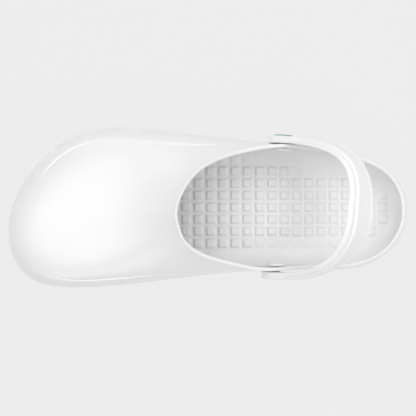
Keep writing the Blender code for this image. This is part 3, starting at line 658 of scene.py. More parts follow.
class Shading:
    """A Principled material under construction, with its nodes placed from left to right."""

    def __init__(self, name):
        self.material = bpy.data.materials.new(name)
        self.material.use_nodes = True
        self.tree = self.material.node_tree
        self.shader = self.tree.nodes["Principled BSDF"]
        self.place = self.tree.nodes.new("ShaderNodeTexCoord").outputs["Object"]

    def link(self, source, target):
        self.tree.links.new(source, target)

    def drive(self, name, source):
        """Links a source to a socket of the shader."""
        self.link(source, self.shader.inputs[name])

    def noise(self, size, detail=2.0):
        """A noise with features of about the given size."""
        node = self.tree.nodes.new("ShaderNodeTexNoise")
        node.inputs["Scale"].default_value = 1.0 / size
        node.inputs["Detail"].default_value = detail
        self.link(self.place, node.inputs["Vector"])
        return node.outputs["Fac"]

    def spread(self, source, low, high):
        """Maps a noise's usual range to low and high."""
        node = self.tree.nodes.new("ShaderNodeMapRange")
        node.inputs["From Min"].default_value, node.inputs["From Max"].default_value = NOISE_RANGE
        node.inputs["To Min"].default_value = low
        node.inputs["To Max"].default_value = high
        self.link(source, node.inputs["Value"])
        return node.outputs["Result"]

    def blend_colours(self, factor, first, second):
        node = self.tree.nodes.new("ShaderNodeMix")
        node.data_type = "RGBA"
        self.link(factor, node.inputs["Factor"])
        node.inputs["A"].default_value = (*first, 1.0)
        node.inputs["B"].default_value = (*second, 1.0)
        for socket in node.outputs:
            if socket.type == "RGBA":
                return socket

    def bump(self, height, depth, normal=None):
        node = self.tree.nodes.new("ShaderNodeBump")
        node.inputs["Strength"].default_value = 1.0
        node.inputs["Distance"].default_value = depth
        self.link(height, node.inputs["Height"])
        if normal is not None:
            self.link(normal, node.inputs["Normal"])
        return node.outputs["Normal"]


# A moulded skin. tone and gloss are the sizes of their patches, deeper is the share of the colour that
# the deepest patch keeps, spread the change of roughness either way, detail the noise's layers, and
# wave and grain are depths as shares of the setting for the grain.
Skin = namedtuple("Skin", "tone deeper gloss spread detail wave grain")
FOAM = Skin(28.0 * MM, 0.985, 9.0 * MM, 0.05, 3.0, 3.0, 1.0)
PLASTIC = Skin(6.0 * MM, 0.97, 3.0 * MM, 0.04, 2.0, 0.0, 0.4)
WAVE_SIZE = 11.0 * MM


def moulded_material(name, skin, colour, roughness, settings):
    """A moulded skin with a fine grain, any slow wave, and a faint change of tone and gloss."""
    found = bpy.data.materials.get(name)
    if found is not None:
        return found
    look = Shading(name)
    deeper = tuple(c * skin.deeper for c in colour)
    tone = look.spread(look.noise(skin.tone), 0.0, 1.0)
    look.drive("Base Color", look.blend_colours(tone, tuple(colour), deeper))
    gloss = look.noise(skin.gloss, skin.detail)
    look.drive("Roughness", look.spread(gloss, roughness - skin.spread, roughness + skin.spread))
    wave = look.bump(look.noise(WAVE_SIZE), skin.wave * settings.grain_depth) if skin.wave else None
    grain = look.noise(settings.grain, skin.detail)
    look.drive("Normal", look.bump(grain, skin.grain * settings.grain_depth, wave))
    return look.material


# Upper


def capsule(length, width):
    """Outline of a slot with round ends, as (along, up) pairs."""
    radius = width / 2.0
    half = length / 2.0 - radius
    points = []
    for side, start in ((1.0, -0.5 * math.pi), (-1.0, 0.5 * math.pi)):
        for k in range(VENT_ROUND_STEPS + 1):
            angle = start + math.pi * k / VENT_ROUND_STEPS
            points.append((side * half + radius * math.cos(angle), radius * math.sin(angle)))
    return points


def vent_shape(vent, shell):
    """A slot-shaped plug through the wall, square to it, that flares out at the outer face."""
    lateral = PLACES[: SIDE_STEPS + 1]
    place = np.interp(-vent.along, -LOOP.read(lateral)[:, 0], lateral)
    here, climb = np.array([place]), np.array([vent.climb])
    centre = Vector(shell_points(here, climb)[0])
    outward = Vector(shell_normals(here, climb)[0])
    ahead = Vector(shell_points(here + MM, climb)[0]) - centre
    ahead = (ahead - outward * ahead.dot(outward)).normalized()
    upward = outward.cross(ahead)
    lip = shell.vent_lip
    turns = np.linspace(0.0, 0.5 * math.pi, VENT_LIP_STEPS)
    profile = [(-VENT_CUT_DEPTH, 0.0)]
    profile += [(-lip + lip * math.sin(t), lip - lip * math.cos(t)) for t in turns]
    profile += [(VENT_CUT_DEPTH, lip + VENT_CUT_DEPTH)]
    rings = []
    for shift, grow in profile:
        outline = capsule(shell.vent_length + 2.0 * grow, shell.vent_width + 2.0 * grow)
        rings.append([centre + ahead * a + upward * u + outward * shift for a, u in outline])
    return capped(rings)


def upper_rings(shell):
    """Rings of the hollow shell: outer face with its bumper ledge, rolled rim and inner face."""
    ledge_at, ledge = LOOP.read(PLACES).T[8:]
    ledge = np.clip(ledge, 0.0, None) * MM
    soft = shell.ledge_softness
    rings = []
    for share in np.linspace(0.0, 1.0, BELOW_RINGS):
        rings.append(shell_ring((ledge_at - soft) * share, ledge))
    for turn in np.linspace(0.0, 1.0, LEDGE_RINGS)[1:]:
        rings.append(shell_ring(ledge_at + soft * (2.0 * turn - 1.0), ledge * (1.0 - smoothstep(turn))))
    for share in np.linspace(0.0, 1.0, ABOVE_RINGS)[1:]:
        start = ledge_at + soft
        rings.append(shell_ring(start + (1.0 - start) * share, 0.0))
    outer, inner = rings[-1], shell_ring(1.0, -WALL)
    middle = (outer + inner) / 2.0
    onward = middle - shell_ring(RIM_AIM, -WALL / 2.0)
    onward /= np.linalg.norm(onward, axis=1)[:, None]
    onward[:, 2] += RIM_LEVEL
    onward /= np.linalg.norm(onward, axis=1)[:, None]
    for angle in np.linspace(0.0, math.pi, RIM_STEPS + 1)[1:-1]:
        crown = onward * math.sin(angle) ** RIM_SQUARE * WALL / 2.0
        side = math.copysign(abs(math.cos(angle)) ** RIM_SQUARE, math.cos(angle))
        rings.append(middle + (outer - middle) * side + crown)
    rings += [shell_ring(climb, -WALL) for climb in np.linspace(1.0, 0.0, INNER_RINGS)]
    return rings


class ClogUpper(bpy.types.Operator):
    """Make the hollow moulded upper with its bumper ledge, rolled collar and vents"""

    bl_idname = "clog.upper"
    bl_label = "Upper"

    def execute(self, context):
        settings = context.scene.clog
        rings = upper_rings(settings.shell)
        upper = mesh_object("clog_upper", np.concatenate(rings), strips(rings, wrap=True))
        cutters = [vent_shape(vent, settings.shell) for vent in VENTS]
        strap_seat = -STRAP_THICKNESS / 2.0 - GAP
        cutters += [stepped_plug(pivot, axis, strap_seat, STRAP_SEAT_RADIUS) for pivot, axis in RIVETS]
        cut_away(upper, cutters)
        finish = settings.finish
        foam = moulded_material("white_upper_foam", FOAM, finish.foam, finish.foam_roughness, finish)
        finish_piece(upper, ["upper"], foam, UPPER_SMOOTH)
        return {"FINISHED"}


# Sole


def sole_rings():
    """Rings of the sole's side, its steps softly rounded, from the top edge to the tread."""
    edge = shell_points(PLACES, np.zeros_like(PLACES))[:, :2]
    outward = plan_normals(edge)
    low, high = ground_lift(edge[:, 0]), edge_height(edge[:, 0])
    side = [(step.inset * MM, step.height * BALL_EDGE_HEIGHT) for step in SOLE_SIDE]
    rings = []
    for inset, height in rounded(side, SOLE_ROUNDING, closed=False):
        share = height / BALL_EDGE_HEIGHT
        rings.append(np.column_stack([edge - outward * inset, low + (high - low) * share]))
    return rings


def groove_shapes():
    """Bars across the tread that leave the main lugs of forefoot and heel."""
    starts = [x_of(FOREFOOT_GROOVE_START) + k * GROOVE_PITCH for k in range(FOREFOOT_GROOVES)]
    starts += [x_of(HEEL_GROOVE_START) + k * GROOVE_PITCH for k in range(HEEL_GROOVES)]
    corners = ((0, 0), (1, 0), (1, 1), (0, 1))
    shapes = []
    for x in starts:
        roof = float(ground_lift(np.array(x + GROOVE_WIDTH / 2.0))) + GROOVE_DEPTH
        rings = []
        for z in (-GROOVE_DEPTH, roof):
            rings.append([(x + a * GROOVE_WIDTH, (b - 0.5) * GROOVE_LENGTH, z) for a, b in corners])
        shapes.append(capped(rings))
    return shapes


class ClogSole(bpy.types.Operator):
    """Make the sole unit with its stepped side and grooved tread"""

    bl_idname = "clog.sole"
    bl_label = "Sole"

    def execute(self, context):
        finish = context.scene.clog.finish
        sole = mesh_object("clog_sole", *foot_solid(sole_rings()))
        cut_away(sole, groove_shapes())
        matt = moulded_material("pale_sole_foam", FOAM, finish.sole, SOLE_ROUGHNESS, finish)
        finish_piece(sole, ["sole"], matt, SOLE_SMOOTH)
        return {"FINISHED"}


# Footbed


def footbed_height(x, depth):
    """Height of the footbed's face, which rises in a quarter round to meet the wall."""
    deeper = smoothstep((along_of(x) - CUP_RISE_START) / CUP_RISE_LENGTH)
    cup = TOE_CUP + (HEEL_CUP - TOE_CUP) * deeper
    nearness = np.clip(1.0 - depth / CUP_REACH, 0.0, 1.0)
    return edge_height(x) + GAP + FOOTBED_THICKNESS + cup * (1.0 - np.sqrt(1.0 - nearness**2))


def wall_line(clear):
    """Plan line of the inner wall at the footbed, moved inwards by a clearance."""
    return shell_ring(0.0, -(WALL + clear))[:, :2]


def cup_start(wall, outward):
    """Depth from the wall's foot at which the cup meets the wall, which leans inwards."""
    climbs = np.linspace(0.0, FOOTBED_CLIMB, SEARCH_STEPS)
    lines = np.array([shell_ring(climb, -(WALL + FOOTBED_CLEARANCE)) for climb in climbs])
    depths = ((wall[None] - lines[:, :, :2]) * outward[None]).sum(2)
    above = lines[:, :, 2] > footbed_height(wall[None, :, 0], depths)
    meeting = np.argmax(above, axis=0)
    return np.clip(depths[meeting, np.arange(len(wall))], 0.0, CUP_REACH / 2.0)


def footbed_rings():
    """Rings of the footbed from its underside over the rounded cup to the flat middle."""
    wall = wall_line(FOOTBED_CLEARANCE)
    outward = plan_normals(wall)
    start = cup_start(wall, outward)
    rings = [np.column_stack([wall, edge_height(wall[:, 0]) + GAP])]
    for turn in np.linspace(0.0, 0.5 * math.pi, CUP_RINGS):
        depth = start + (CUP_REACH - start) * (1.0 - math.cos(turn))
        plan = wall - outward * depth[:, None]
        rings.append(np.column_stack([plan, footbed_height(plan[:, 0], depth)]))
    return rings


def pad_border(bed):
    """The line that the pads keep away from: the wall, and further in along arch and heel."""
    wall = wall_line(0.0)
    medial = smoothstep(-wall[:, 1] / CUP_RUN) * smoothstep((wall[:, 0] - ARCH_FROM) / CUP_RUN)
    lateral = smoothstep(wall[:, 1] / CUP_RUN) * smoothstep((wall[:, 0] - HEEL_FROM) / CUP_RUN)
    share = (medial + lateral) * smoothstep((HEEL_TO - wall[:, 0]) / CUP_RUN)
    return wall - plan_normals(wall) * (bed.cup_margin * share)[:, None]


def pad_shape(bed):
    """One pad with leaning sides and rounded corners, standing a little below its foot."""
    corner = bed.pad_corner

    def square(side, height):
        line = []
        half = side / 2.0 - corner
        for quarter in range(4):
            middle = math.radians(45.0 + 90.0 * quarter)
            x, y = math.copysign(half, math.cos(middle)), math.copysign(half, math.sin(middle))
            for k in range(PAD_CORNER_STEPS):
                angle = math.radians(90.0 * (quarter + k / (PAD_CORNER_STEPS - 1)))
                line.append((x + corner * math.cos(angle), y + corner * math.sin(angle), height))
        return line

    top = bed.pad_side - 2.0 * bed.pad_draft
    return capped(
        [
            square(bed.pad_side, -PAD_SUNK),
            square(bed.pad_side, 0.0),
            square(top, bed.pad_height - PAD_SOFT),
            square(top - 2.0 * PAD_SOFT, bed.pad_height),
        ]
    )


class NodeTree:
    """A geometry node tree under construction, with named inputs."""

    def __init__(self, name):
        self.tree = bpy.data.node_groups.new(name, "GeometryNodeTree")
        self.tree.interface.new_socket(name="Geometry", in_out="INPUT", socket_type="NodeSocketGeometry")
        self.tree.interface.new_socket(name="Geometry", in_out="OUTPUT", socket_type="NodeSocketGeometry")
        self.entry = self.tree.nodes.new("NodeGroupInput")
        self.exit = self.tree.nodes.new("NodeGroupOutput")
        self.values = {}

    def ask(self, name, kind, value):
        """A named input of the tree and the value that it gets, as a socket to link from."""
        made = self.tree.interface.new_socket(name=name, in_out="INPUT", socket_type="NodeSocket" + kind)
        self.values[made.identifier] = value
        return self.entry.outputs[name]

    def feed(self, socket, source):
        """Gives an input its source, which is a socket to link from or a value."""
        if isinstance(source, bpy.types.NodeSocket):
            self.tree.links.new(source, socket)
        else:
            socket.default_value = source

    def add(self, kind, settings=None, **inputs):
        """A node with its settings and the sources of its inputs."""
        node = self.tree.nodes.new(kind)
        for name, value in (settings or {}).items():
            setattr(node, name, value)
        for name, source in inputs.items():
            self.feed(node.inputs[name.replace("_", " ")], source)
        return node

    def math(self, operation, first, second):
        node = self.add("ShaderNodeMath", {"operation": operation})
        for socket, source in zip(node.inputs, (first, second)):
            self.feed(socket, source)
        return node.outputs[0]

    def object_shape(self, source):
        return self.add("GeometryNodeObjectInfo", Object=source).outputs["Geometry"]

    def finish(self, geometry, finish):
        """Realizes the instances, sets the material and closes the tree."""
        real = self.add("GeometryNodeRealizeInstances", Geometry=geometry)
        done = self.add("GeometryNodeSetMaterial", Geometry=real.outputs[0], Material=finish)
        self.tree.links.new(done.outputs[0], self.exit.inputs[0])

    def run_on(self, made):
        """Runs the tree on an object and keeps the result as its plain mesh."""
        modifier = made.modifiers.new(self.tree.name, "NODES")
        modifier.node_group = self.tree
        for identifier, value in self.values.items():
            modifier[identifier] = value
        settle(made)
        bpy.data.node_groups.remove(self.tree)


def pad_tree(bed, pad, border, finish):
    """Pads on a grid, dropped on the footbed, turned to its face and faded out near the border."""
    make = NodeTree("footbed_pads")
    columns = make.ask("Columns", "Int", bed.columns)
    rows = make.ask("Rows", "Int", bed.rows)
    pitch_along = make.ask("Pitch along", "Float", bed.pitch_along)
    pitch_across = make.ask("Pitch across", "Float", bed.pitch_across)
    first_along = make.ask("First column", "Float", bed.first_along)
    first_across = make.ask("First row", "Float", bed.first_across)
    margin = make.ask("Edge margin", "Float", bed.edge_margin)
    fade = make.ask("Edge fade", "Float", bed.edge_fade)
    pad_shape_in = make.ask("Pad", "Object", pad)
    border_in = make.ask("Border", "Object", border)
    material = make.ask("Finish", "Material", finish)
    base = make.entry.outputs["Geometry"]

    length = make.math("MULTIPLY", make.math("SUBTRACT", columns, 1.0), pitch_along)
    width = make.math("MULTIPLY", make.math("SUBTRACT", rows, 1.0), pitch_across)
    grid = make.add(
        "GeometryNodeMeshGrid", Size_X=length, Size_Y=width, Vertices_X=columns, Vertices_Y=rows
    )
    middle = make.add(
        "ShaderNodeCombineXYZ",
        X=make.math("ADD", first_along, make.math("DIVIDE", length, 2.0)),
        Y=make.math("ADD", first_across, make.math("DIVIDE", width, 2.0)),
    )
    placed = make.add(
        "GeometryNodeTransform", Geometry=grid.outputs["Mesh"], Translation=middle.outputs["Vector"]
    )
    here = make.add("ShaderNodeSeparateXYZ", Vector=make.add("GeometryNodeInputPosition").outputs[0])
    x, y = here.outputs["X"], here.outputs["Y"]
    above = make.add("ShaderNodeCombineXYZ", X=x, Y=y, Z=THROAT_HEIGHT)
    down = make.add(
        "GeometryNodeRaycast",
        Target_Geometry=base,
        Source_Position=above.outputs[0],
        Ray_Direction=(0.0, 0.0, -1.0),
        Ray_Length=2.0 * THROAT_HEIGHT,
    )
    flat = make.add("ShaderNodeCombineXYZ", X=x, Y=y)
    near = make.add(
        "GeometryNodeProximity",
        {"target_element": "EDGES"},
        Geometry=make.object_shape(border_in),
        Sample_Position=flat.outputs[0],
    )
    distance = near.outputs["Distance"]
    full = make.add(
        "ShaderNodeMapRange",
        {"interpolation_type": "SMOOTHSTEP"},
        Value=distance,
        From_Min=margin,
        From_Max=make.math("ADD", margin, fade),
    )
    clear = make.math("GREATER_THAN", full.outputs["Result"], PAD_LEAST_SHARE)
    keep = make.math("MULTIPLY", down.outputs["Is Hit"], clear)
    kept = make.add(
        "GeometryNodeDeleteGeometry",
        {"domain": "POINT"},
        Geometry=placed.outputs[0],
        Selection=make.math("SUBTRACT", 1.0, keep),
    )
    dropped = make.add(
        "GeometryNodeSetPosition", Geometry=kept.outputs[0], Position=down.outputs["Hit Position"]
    )
    turned = make.add(
        "FunctionNodeAlignRotationToVector", {"axis": "Z"}, Vector=down.outputs["Hit Normal"]
    )
    size = make.add("ShaderNodeCombineXYZ", X=1.0, Y=1.0, Z=full.outputs["Result"])
    pads = make.add(
        "GeometryNodeInstanceOnPoints",
        Points=dropped.outputs[0],
        Instance=make.object_shape(pad_shape_in),
        Rotation=turned.outputs[0],
        Scale=size.outputs[0],
    )
    both = make.add("GeometryNodeJoinGeometry", Geometry=base)
    make.tree.links.new(pads.outputs[0], both.inputs[0])
    make.finish(both.outputs[0], material)
    return make


class ClogFootbedPads(bpy.types.Operator):
    """Make the cupped footbed with its square pads"""

    bl_idname = "clog.footbed"
    bl_label = "Footbed"

    def execute(self, context):
        settings = context.scene.clog
        finish = settings.finish
        footbed = mesh_object("clog_footbed", *foot_solid(footbed_rings()))
        pad = mesh_object("pad", *pad_shape(settings.footbed))
        line = [(x, y, 0.0) for x, y in pad_border(settings.footbed)]
        border = mesh_object("pad_border", line, [tuple(range(len(line)))])
        matt = moulded_material("white_footbed_foam", FOAM, finish.bed, FOOTBED_ROUGHNESS, finish)
        pad_tree(settings.footbed, pad, border, matt).run_on(footbed)
        drop(pad, border)
        finish_piece(footbed, ["footbed"], matt, SMALL_SMOOTH)
        return {"FINISHED"}


# Heel strap and rivets


class StrapFrame:
    """The tilted plane of the strap: across to the lateral pivot, back from the pivots, and up."""

    def __init__(self):
        self.centre = (PIVOT_LATERAL + PIVOT_MEDIAL) / 2.0
        axis = PIVOT_LATERAL - PIVOT_MEDIAL
        self.half_span = axis.length / 2.0
        self.across = axis.normalized()
        level_back = Vector((self.across.y, -self.across.x, 0.0))
        self.back = level_back * math.cos(STRAP_ANGLE) + Vector((0.0, 0.0, math.sin(STRAP_ANGLE)))
        self.up = self.back.cross(self.across)

    def at(self, back, across, up=0.0):
        return self.centre + self.back * back + self.across * across + self.up * up


STRAP = StrapFrame()
RIVETS = ((PIVOT_LATERAL, STRAP.across), (PIVOT_MEDIAL, -STRAP.across))


def strap_path():
    """(back, across, distance to the nearer tip, lean) along the strap's middle line."""
    radius = STRAP_END_WIDTH / 2.0
    curve = [(-radius, STRAP.half_span, 0.0)]
    for angle in np.linspace(0.0, math.pi, FINE_SAMPLES):
        lateral = angle < 0.5 * math.pi
        power = 2.0 / (STRAP_SQUARE_LATERAL if lateral else STRAP_SQUARE_MEDIAL)
        back = STRAP_REACH * max(math.sin(angle), 0.0) ** power
        across = math.copysign(abs(math.cos(angle)) ** power, math.cos(angle)) * STRAP.half_span
        tuck = STRAP_TUCK_LATERAL if lateral else STRAP_TUCK_MEDIAL
        twist = STRAP_TWIST_LATERAL if lateral else 0.0
        curve.append((back, across, twist * math.sin(4.0 * angle) - tuck * math.sin(2.0 * angle) ** 2))
    curve.append((-radius, -STRAP.half_span, 0.0))
    line = np.array(curve)
    run = np.concatenate([[0.0], np.cumsum(np.linalg.norm(np.diff(line[:, :2], axis=0), axis=1))])
    turns = np.linspace(0.0, 0.5 * math.pi, STRAP_END_STEPS + 2)[1:-1]
    rounding = np.concatenate([[STRAP_TIP], radius * (1.0 - np.cos(turns))])
    body = np.linspace(radius, run[-1] - radius, STRAP_STEPS)
    places = np.concatenate([rounding, body, run[-1] - rounding[::-1]])
    columns = [np.interp(places, run, line[:, k]) for k in range(3)]
    return np.column_stack([columns[0], columns[1], np.minimum(places, run[-1] - places), columns[2]])


def strap_section(half_width, lip_recess, panel_depth):
    """Outline of the cross-section as (up, outward) pairs: inner face, then the outer face's steps."""
    half = STRAP_THICKNESS / 2.0
    scale = min(1.0, 2.0 * half_width / STRAP_END_WIDTH)
    soft = STRAP_SOFT_EDGE * scale
    narrowing = (2.0 * half_width / STRAP_BACK_WIDTH) ** 2
    depths = {"lip": lip_recess, "panel": panel_depth}
    outline = [
        (-half_width, half - soft),
        (-half_width, -half + soft),
        (-half_width + soft, -half),
        (half_width - soft, -half),
        (half_width, -half + soft),
    ]
    for step in STRAP_FACE:
        edge = half_width if step.edge == "top" else -half_width
        depth = step.share * depths[step.depth]
        outline.append((edge + step.inset * MM * narrowing, half - depth))
    return rounded(outline, STRAP_ROUNDING, closed=True)


def strap_rings(panel_depth):
    """Rings of the strap, swept round the heel in its tilted plane."""
    path = strap_path()
    run = np.gradient(path[:, :2], axis=0)
    run /= np.linalg.norm(run, axis=1)[:, None]
    radius = STRAP_END_WIDTH / 2.0
    rings = []
    for (back, across, to_tip, lean), (run_back, run_across) in zip(path, run):
        swell = float(smoothstep((to_tip - 2.0 * radius) / STRAP_REACH))
        half_width = (STRAP_END_WIDTH + (STRAP_BACK_WIDTH - STRAP_END_WIDTH) * swell) / 2.0
        if to_tip < radius:
            half_width = math.sqrt(radius**2 - (radius - to_tip) ** 2)
        relief = float(smoothstep((to_tip - 2.0 * radius) / radius))
        recess = STRAP_LIP_RECESS_SIDE + (STRAP_LIP_RECESS_BACK - STRAP_LIP_RECESS_SIDE) * swell
        section = strap_section(half_width, recess * relief, panel_depth * relief)
        level = STRAP.back * -run_across + STRAP.across * run_back
        outward = level * math.cos(lean) + STRAP.up * math.sin(lean)
        upward = STRAP.up * math.cos(lean) - level * math.sin(lean)
        middle = STRAP.at(back, across)
        rings.append([middle + upward * u + outward * o for u, o in section])
    return rings


def stepped_plug(pivot, axis, seat, seat_radius):
    """A cutter for the shank's hole that widens to a flat seat from a given place outwards."""
    profile = [
        (SHANK_HOLE_RADIUS, -CUTTER_REACH),
        (SHANK_HOLE_RADIUS, seat),
        (seat_radius, seat),
        (seat_radius, CUTTER_REACH),
    ]
    return turned_solid(profile, pivot, axis)


class ClogHeelStrap(bpy.types.Operator):
    """Make the moulded heel strap with its bead and sunk panel"""

    bl_idname = "clog.strap"
    bl_label = "Heel strap"

    def execute(self, context):
        settings = context.scene.clog
        strap = mesh_object("clog_heel_strap", *capped(strap_rings(settings.strap.panel_depth)))
        head_seat = STRAP_THICKNESS / 2.0 - HEAD_THICKNESS - GAP
        cut_away(strap, [stepped_plug(pivot, axis, head_seat, HEAD_RADIUS + GAP) for pivot, axis in RIVETS])
        finish = settings.finish
        foam = moulded_material("white_strap_foam", FOAM, finish.strap, finish.foam_roughness, finish)
        finish_piece(strap, ["heel_strap"], foam, STRAP_SMOOTH)
        return {"FINISHED"}


def wall_outside(pivot, axis):
    """Place on the rivet's axis, counted from the pivot, that the upper's outer face reaches in to."""
    heights = np.linspace(SEARCH_FROM, 1.0, SEARCH_STEPS)
    places, climbs = (g.ravel() for g in np.meshgrid(LOOP.stations(SEARCH_STEPS), heights, indexing="ij"))
    offset = shell_points(places, climbs) - np.array(pivot)
    along = offset @ np.array(axis)
    aside = np.linalg.norm(offset - along[:, None] * np.array(axis), axis=1)
    under_cap = (aside < INNER_CAP_RADIUS) & (np.abs(along) < CUTTER_REACH)
    return float(along[under_cap].min())


def stud_profile(shank):
    """A stud along +Z from its shank's end to its flat head."""
    face = STRAP_THICKNESS / 2.0 - HEAD_THICKNESS
    top = face + HEAD_THICKNESS
    profile = [(SHANK_RADIUS, shank), (SHANK_RADIUS, face), (HEAD_RADIUS, face)]
    profile += round_edge(HEAD_RADIUS, top, HEAD_EDGE, HEAD_EDGE)
    return profile + turned_face(HEAD_RADIUS, top, 0.0)


def cap_profile(dome):
    """An inner cap along -Z from the wall, with a rounded edge and a domed face."""
    top = dome - INNER_CAP_THICKNESS
    profile = [(INNER_CAP_RADIUS, 0.0)]
    profile += round_edge(INNER_CAP_RADIUS, top, INNER_CAP_EDGE, -INNER_CAP_EDGE)
    return profile + turned_face(INNER_CAP_RADIUS, top, -dome)


def badge_profile():
    """The disc, from its foot over its sloping shoulder to its slightly sunk face."""
    foot = STRAP_THICKNESS / 2.0 + BADGE_CLEARANCE
    top = foot + BADGE_THICKNESS
    profile = [(BADGE_RADIUS - BADGE_EDGE, foot)]
    rise = BADGE_THICKNESS - BADGE_EDGE
    profile += round_edge(BADGE_RADIUS, top, BADGE_SHOULDER, rise, BADGE_EDGE_STEPS)
    sunk = top - BADGE_EDGE
    return profile + [(BADGE_RADIUS - BADGE_SHOULDER - BADGE_RECESS_STEP, sunk), (BADGE_RECESS_STEP, sunk)]


def rivet_tree(shape, finish):
    """The shape on each point, turned to the point's axis."""
    make = NodeTree("rivet_pair")
    shape_in = make.ask("Shape", "Object", shape)
    material = make.ask("Finish", "Material", finish)
    axis = make.add("GeometryNodeInputNamedAttribute", {"data_type": "FLOAT_VECTOR"}, Name="axis")
    turned = make.add("FunctionNodeAlignRotationToVector", {"axis": "Z"}, Vector=axis.outputs["Attribute"])
    pair = make.add(
        "GeometryNodeInstanceOnPoints",
        Points=make.entry.outputs["Geometry"],
        Instance=make.object_shape(shape_in),
        Rotation=turned.outputs[0],
    )
    make.finish(pair.outputs[0], material)
    return make


def rivet_pieces(name, profile, places, nodes, finish):
    """One turned shape at each place along the rivets' axes."""
    pair = mesh_object(name, places, [])
    axes = pair.data.attributes.new("axis", "FLOAT_VECTOR", "POINT")
    for item, (_, axis) in zip(axes.data, RIVETS):
        item.vector = axis
    shape = mesh_object(name + "_shape", *turned_solid(profile, Vector(), Vector((0.0, 0.0, 1.0))))
    rivet_tree(shape, finish).run_on(pair)
    drop(shape)
    finish_piece(pair, nodes, finish, SMALL_SMOOTH)


class ClogRivets(bpy.types.Operator):
    """Make the two rivet studs, their inner caps and the plain disc on the lateral head"""

    bl_idname = "clog.rivets"
    bl_label = "Rivets and disc"

    def execute(self, context):
        settings = context.scene.clog
        finish = settings.finish
        white = moulded_material("white_rivet_plastic", PLASTIC, finish.rivet, PLASTIC_ROUGHNESS, finish)
        inside = [wall_outside(pivot, axis) - WALL - CAP_CLEARANCE for pivot, axis in RIVETS]
        studs = stud_profile(max(inside) + SHANK_PLAY)
        stud_nodes = ["rivet_stud_lateral", "rivet_stud_medial"]
        rivet_pieces("clog_rivet_studs", studs, [pivot for pivot, _ in RIVETS], stud_nodes, white)
        caps = cap_profile(settings.strap.cap_dome)
        feet = [pivot + axis * depth for (pivot, axis), depth in zip(RIVETS, inside)]
        cap_nodes = ["rivet_cap_lateral", "rivet_cap_medial"]
        rivet_pieces("clog_rivet_caps", caps, feet, cap_nodes, white)
        badge = mesh_object("clog_rivet_badge", *turned_solid(badge_profile(), *RIVETS[0]))
        teal = moulded_material("teal_plastic", PLASTIC, finish.badge, PLASTIC_ROUGHNESS, finish)
        finish_piece(badge, ["rivet_badge"], teal, SMALL_SMOOTH)
        return {"FINISHED"}


# Stage


def floor_material(stage):
    """A pale floor that glows evenly and takes only a trace of shadow."""
    made = bpy.data.materials.new("pale_floor")
    made.use_nodes = True
    shader = made.node_tree.nodes["Principled BSDF"]
    share = stage.floor_shade
    shader.inputs["Base Color"].default_value = (share, share, share, 1.0)
    shader.inputs["Roughness"].default_value = 1.0
    shader.inputs["Specular IOR Level"].default_value = 0.0
    shader.inputs["Emission Color"].default_value = (1.0, 1.0, 1.0, 1.0)
    shader.inputs["Emission Strength"].default_value = stage.floor_tone - share
    return made


# The studio's flat lights, all turned to the clog, each with its share of the setting's power. Those
# of the sheen show in the skin's gloss alone.
LightPanel = namedtuple("LightPanel", "name place sides setting share")
LIGHT_PANELS = (
    LightPanel("softbox_heel", (1.03, 0.0, 1.47), (0.6, 0.6), "key_power", 0.62),
    LightPanel("softbox_heel_lateral", (0.52, 0.89, 1.47), (0.6, 0.6), "key_power", 0.58),
    LightPanel("softbox_toe_lateral", (-0.52, 0.89, 1.47), (0.6, 0.6), "key_power", 0.46),
    LightPanel("softbox_toe", (-1.03, 0.0, 1.47), (0.6, 0.6), "key_power", 0.34),
    LightPanel("softbox_medial", (0.52, -0.89, 1.47), (0.6, 0.6), "key_power", 0.26),
    LightPanel("sheen_overhead", (-0.75, 0.25, 1.5), (2.2, 1.4), "sheen_power", 0.66),
    LightPanel("sheen_toe", (-1.6, 0.1, 0.9), (1.0, 1.4), "sheen_power", 0.08),
    LightPanel("sheen_lateral", (-0.5, 1.9, 0.3), (2.0, 1.4), "sheen_power", 0.28),
    LightPanel("sheen_medial", (-0.2, -1.9, 0.4), (2.4, 1.6), "sheen_power", 0.55),
)


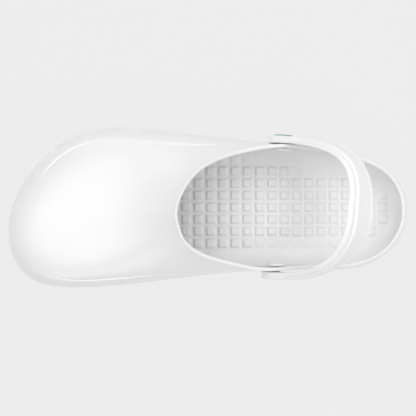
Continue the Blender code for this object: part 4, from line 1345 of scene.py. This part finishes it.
class ClogStudio(bpy.types.Operator):
    """Make the pale floor, the soft light and the camera straight above"""

    bl_idname = "clog.stage"
    bl_label = "Stage"

    def execute(self, context):
        stage = context.scene.clog.stage
        half = FLOOR_HALF_WIDTH
        corners = [(-half, -half, 0.0), (half, -half, 0.0), (half, half, 0.0), (-half, half, 0.0)]
        floor = mesh_object("floor", corners, [(0, 1, 2, 3)])
        floor.data.materials.append(floor_material(stage))
        self.light_room(context, stage)
        self.place_camera(context, stage)
        return {"FINISHED"}

    def light_room(self, context, stage):
        world = bpy.data.worlds.new("pale_room")
        world.use_nodes = True
        background = world.node_tree.nodes["Background"]
        background.inputs["Color"].default_value = (1.0, 1.0, 1.0, 1.0)
        background.inputs["Strength"].default_value = stage.room_tone
        context.scene.world = world
        context.scene.view_settings.view_transform = "Standard"
        for panel in LIGHT_PANELS:
            light = bpy.data.lights.new(panel.name, "AREA")
            light.shape = "RECTANGLE"
            light.energy = getattr(stage, panel.setting) * panel.share
            light.size, light.size_y = panel.sides
            lamp = bpy.data.objects.new(panel.name, light)
            lamp.location = panel.place
            lamp.rotation_euler = Vector(panel.place).to_track_quat("Z", "Y").to_euler()
            lamp.visible_diffuse = panel.setting == "key_power"
            context.scene.collection.objects.link(lamp)

    def place_camera(self, context, stage):
        eye = bpy.data.cameras.new("camera")
        eye.lens = eye.sensor_width * stage.camera_height / stage.view_width
        camera = bpy.data.objects.new("camera", eye)
        camera.location = (*stage.view_centre, stage.camera_height)
        context.scene.collection.objects.link(camera)
        context.scene.camera = camera


# Add-on


class ClogPanel(bpy.types.Panel):
    """Lists the pieces of the clog and their settings"""

    bl_idname = "CLOG_PT_pieces"
    bl_label = "Clog"
    bl_space_type = "VIEW_3D"
    bl_region_type = "UI"
    bl_category = "Clog"

    def draw(self, context):
        settings = context.scene.clog
        for operator in OPERATORS:
            self.layout.operator(operator.bl_idname)
        for group in (settings.shell, settings.footbed, settings.strap, settings.finish, settings.stage):
            box = self.layout.box()
            for name in group.__annotations__:
                box.prop(group, name)


GROUPS = (ClogShell, ClogFootbed, ClogStrap, ClogFinish, ClogStage, ClogSettings)
OPERATORS = (ClogStudio, ClogUpper, ClogSole, ClogFootbedPads, ClogHeelStrap, ClogRivets)


def register():
    for cls in (*GROUPS, *OPERATORS, ClogPanel):
        bpy.utils.register_class(cls)
    bpy.types.Scene.clog = PointerProperty(type=ClogSettings)


def unregister():
    del bpy.types.Scene.clog
    for cls in reversed((*GROUPS, *OPERATORS, ClogPanel)):
        bpy.utils.unregister_class(cls)


def main():
    register()
    bpy.ops.clog.stage()
    bpy.ops.clog.upper()
    bpy.ops.clog.sole()
    bpy.ops.clog.footbed()
    bpy.ops.clog.strap()
    bpy.ops.clog.rivets()


if __name__ == "__main__":
    main()
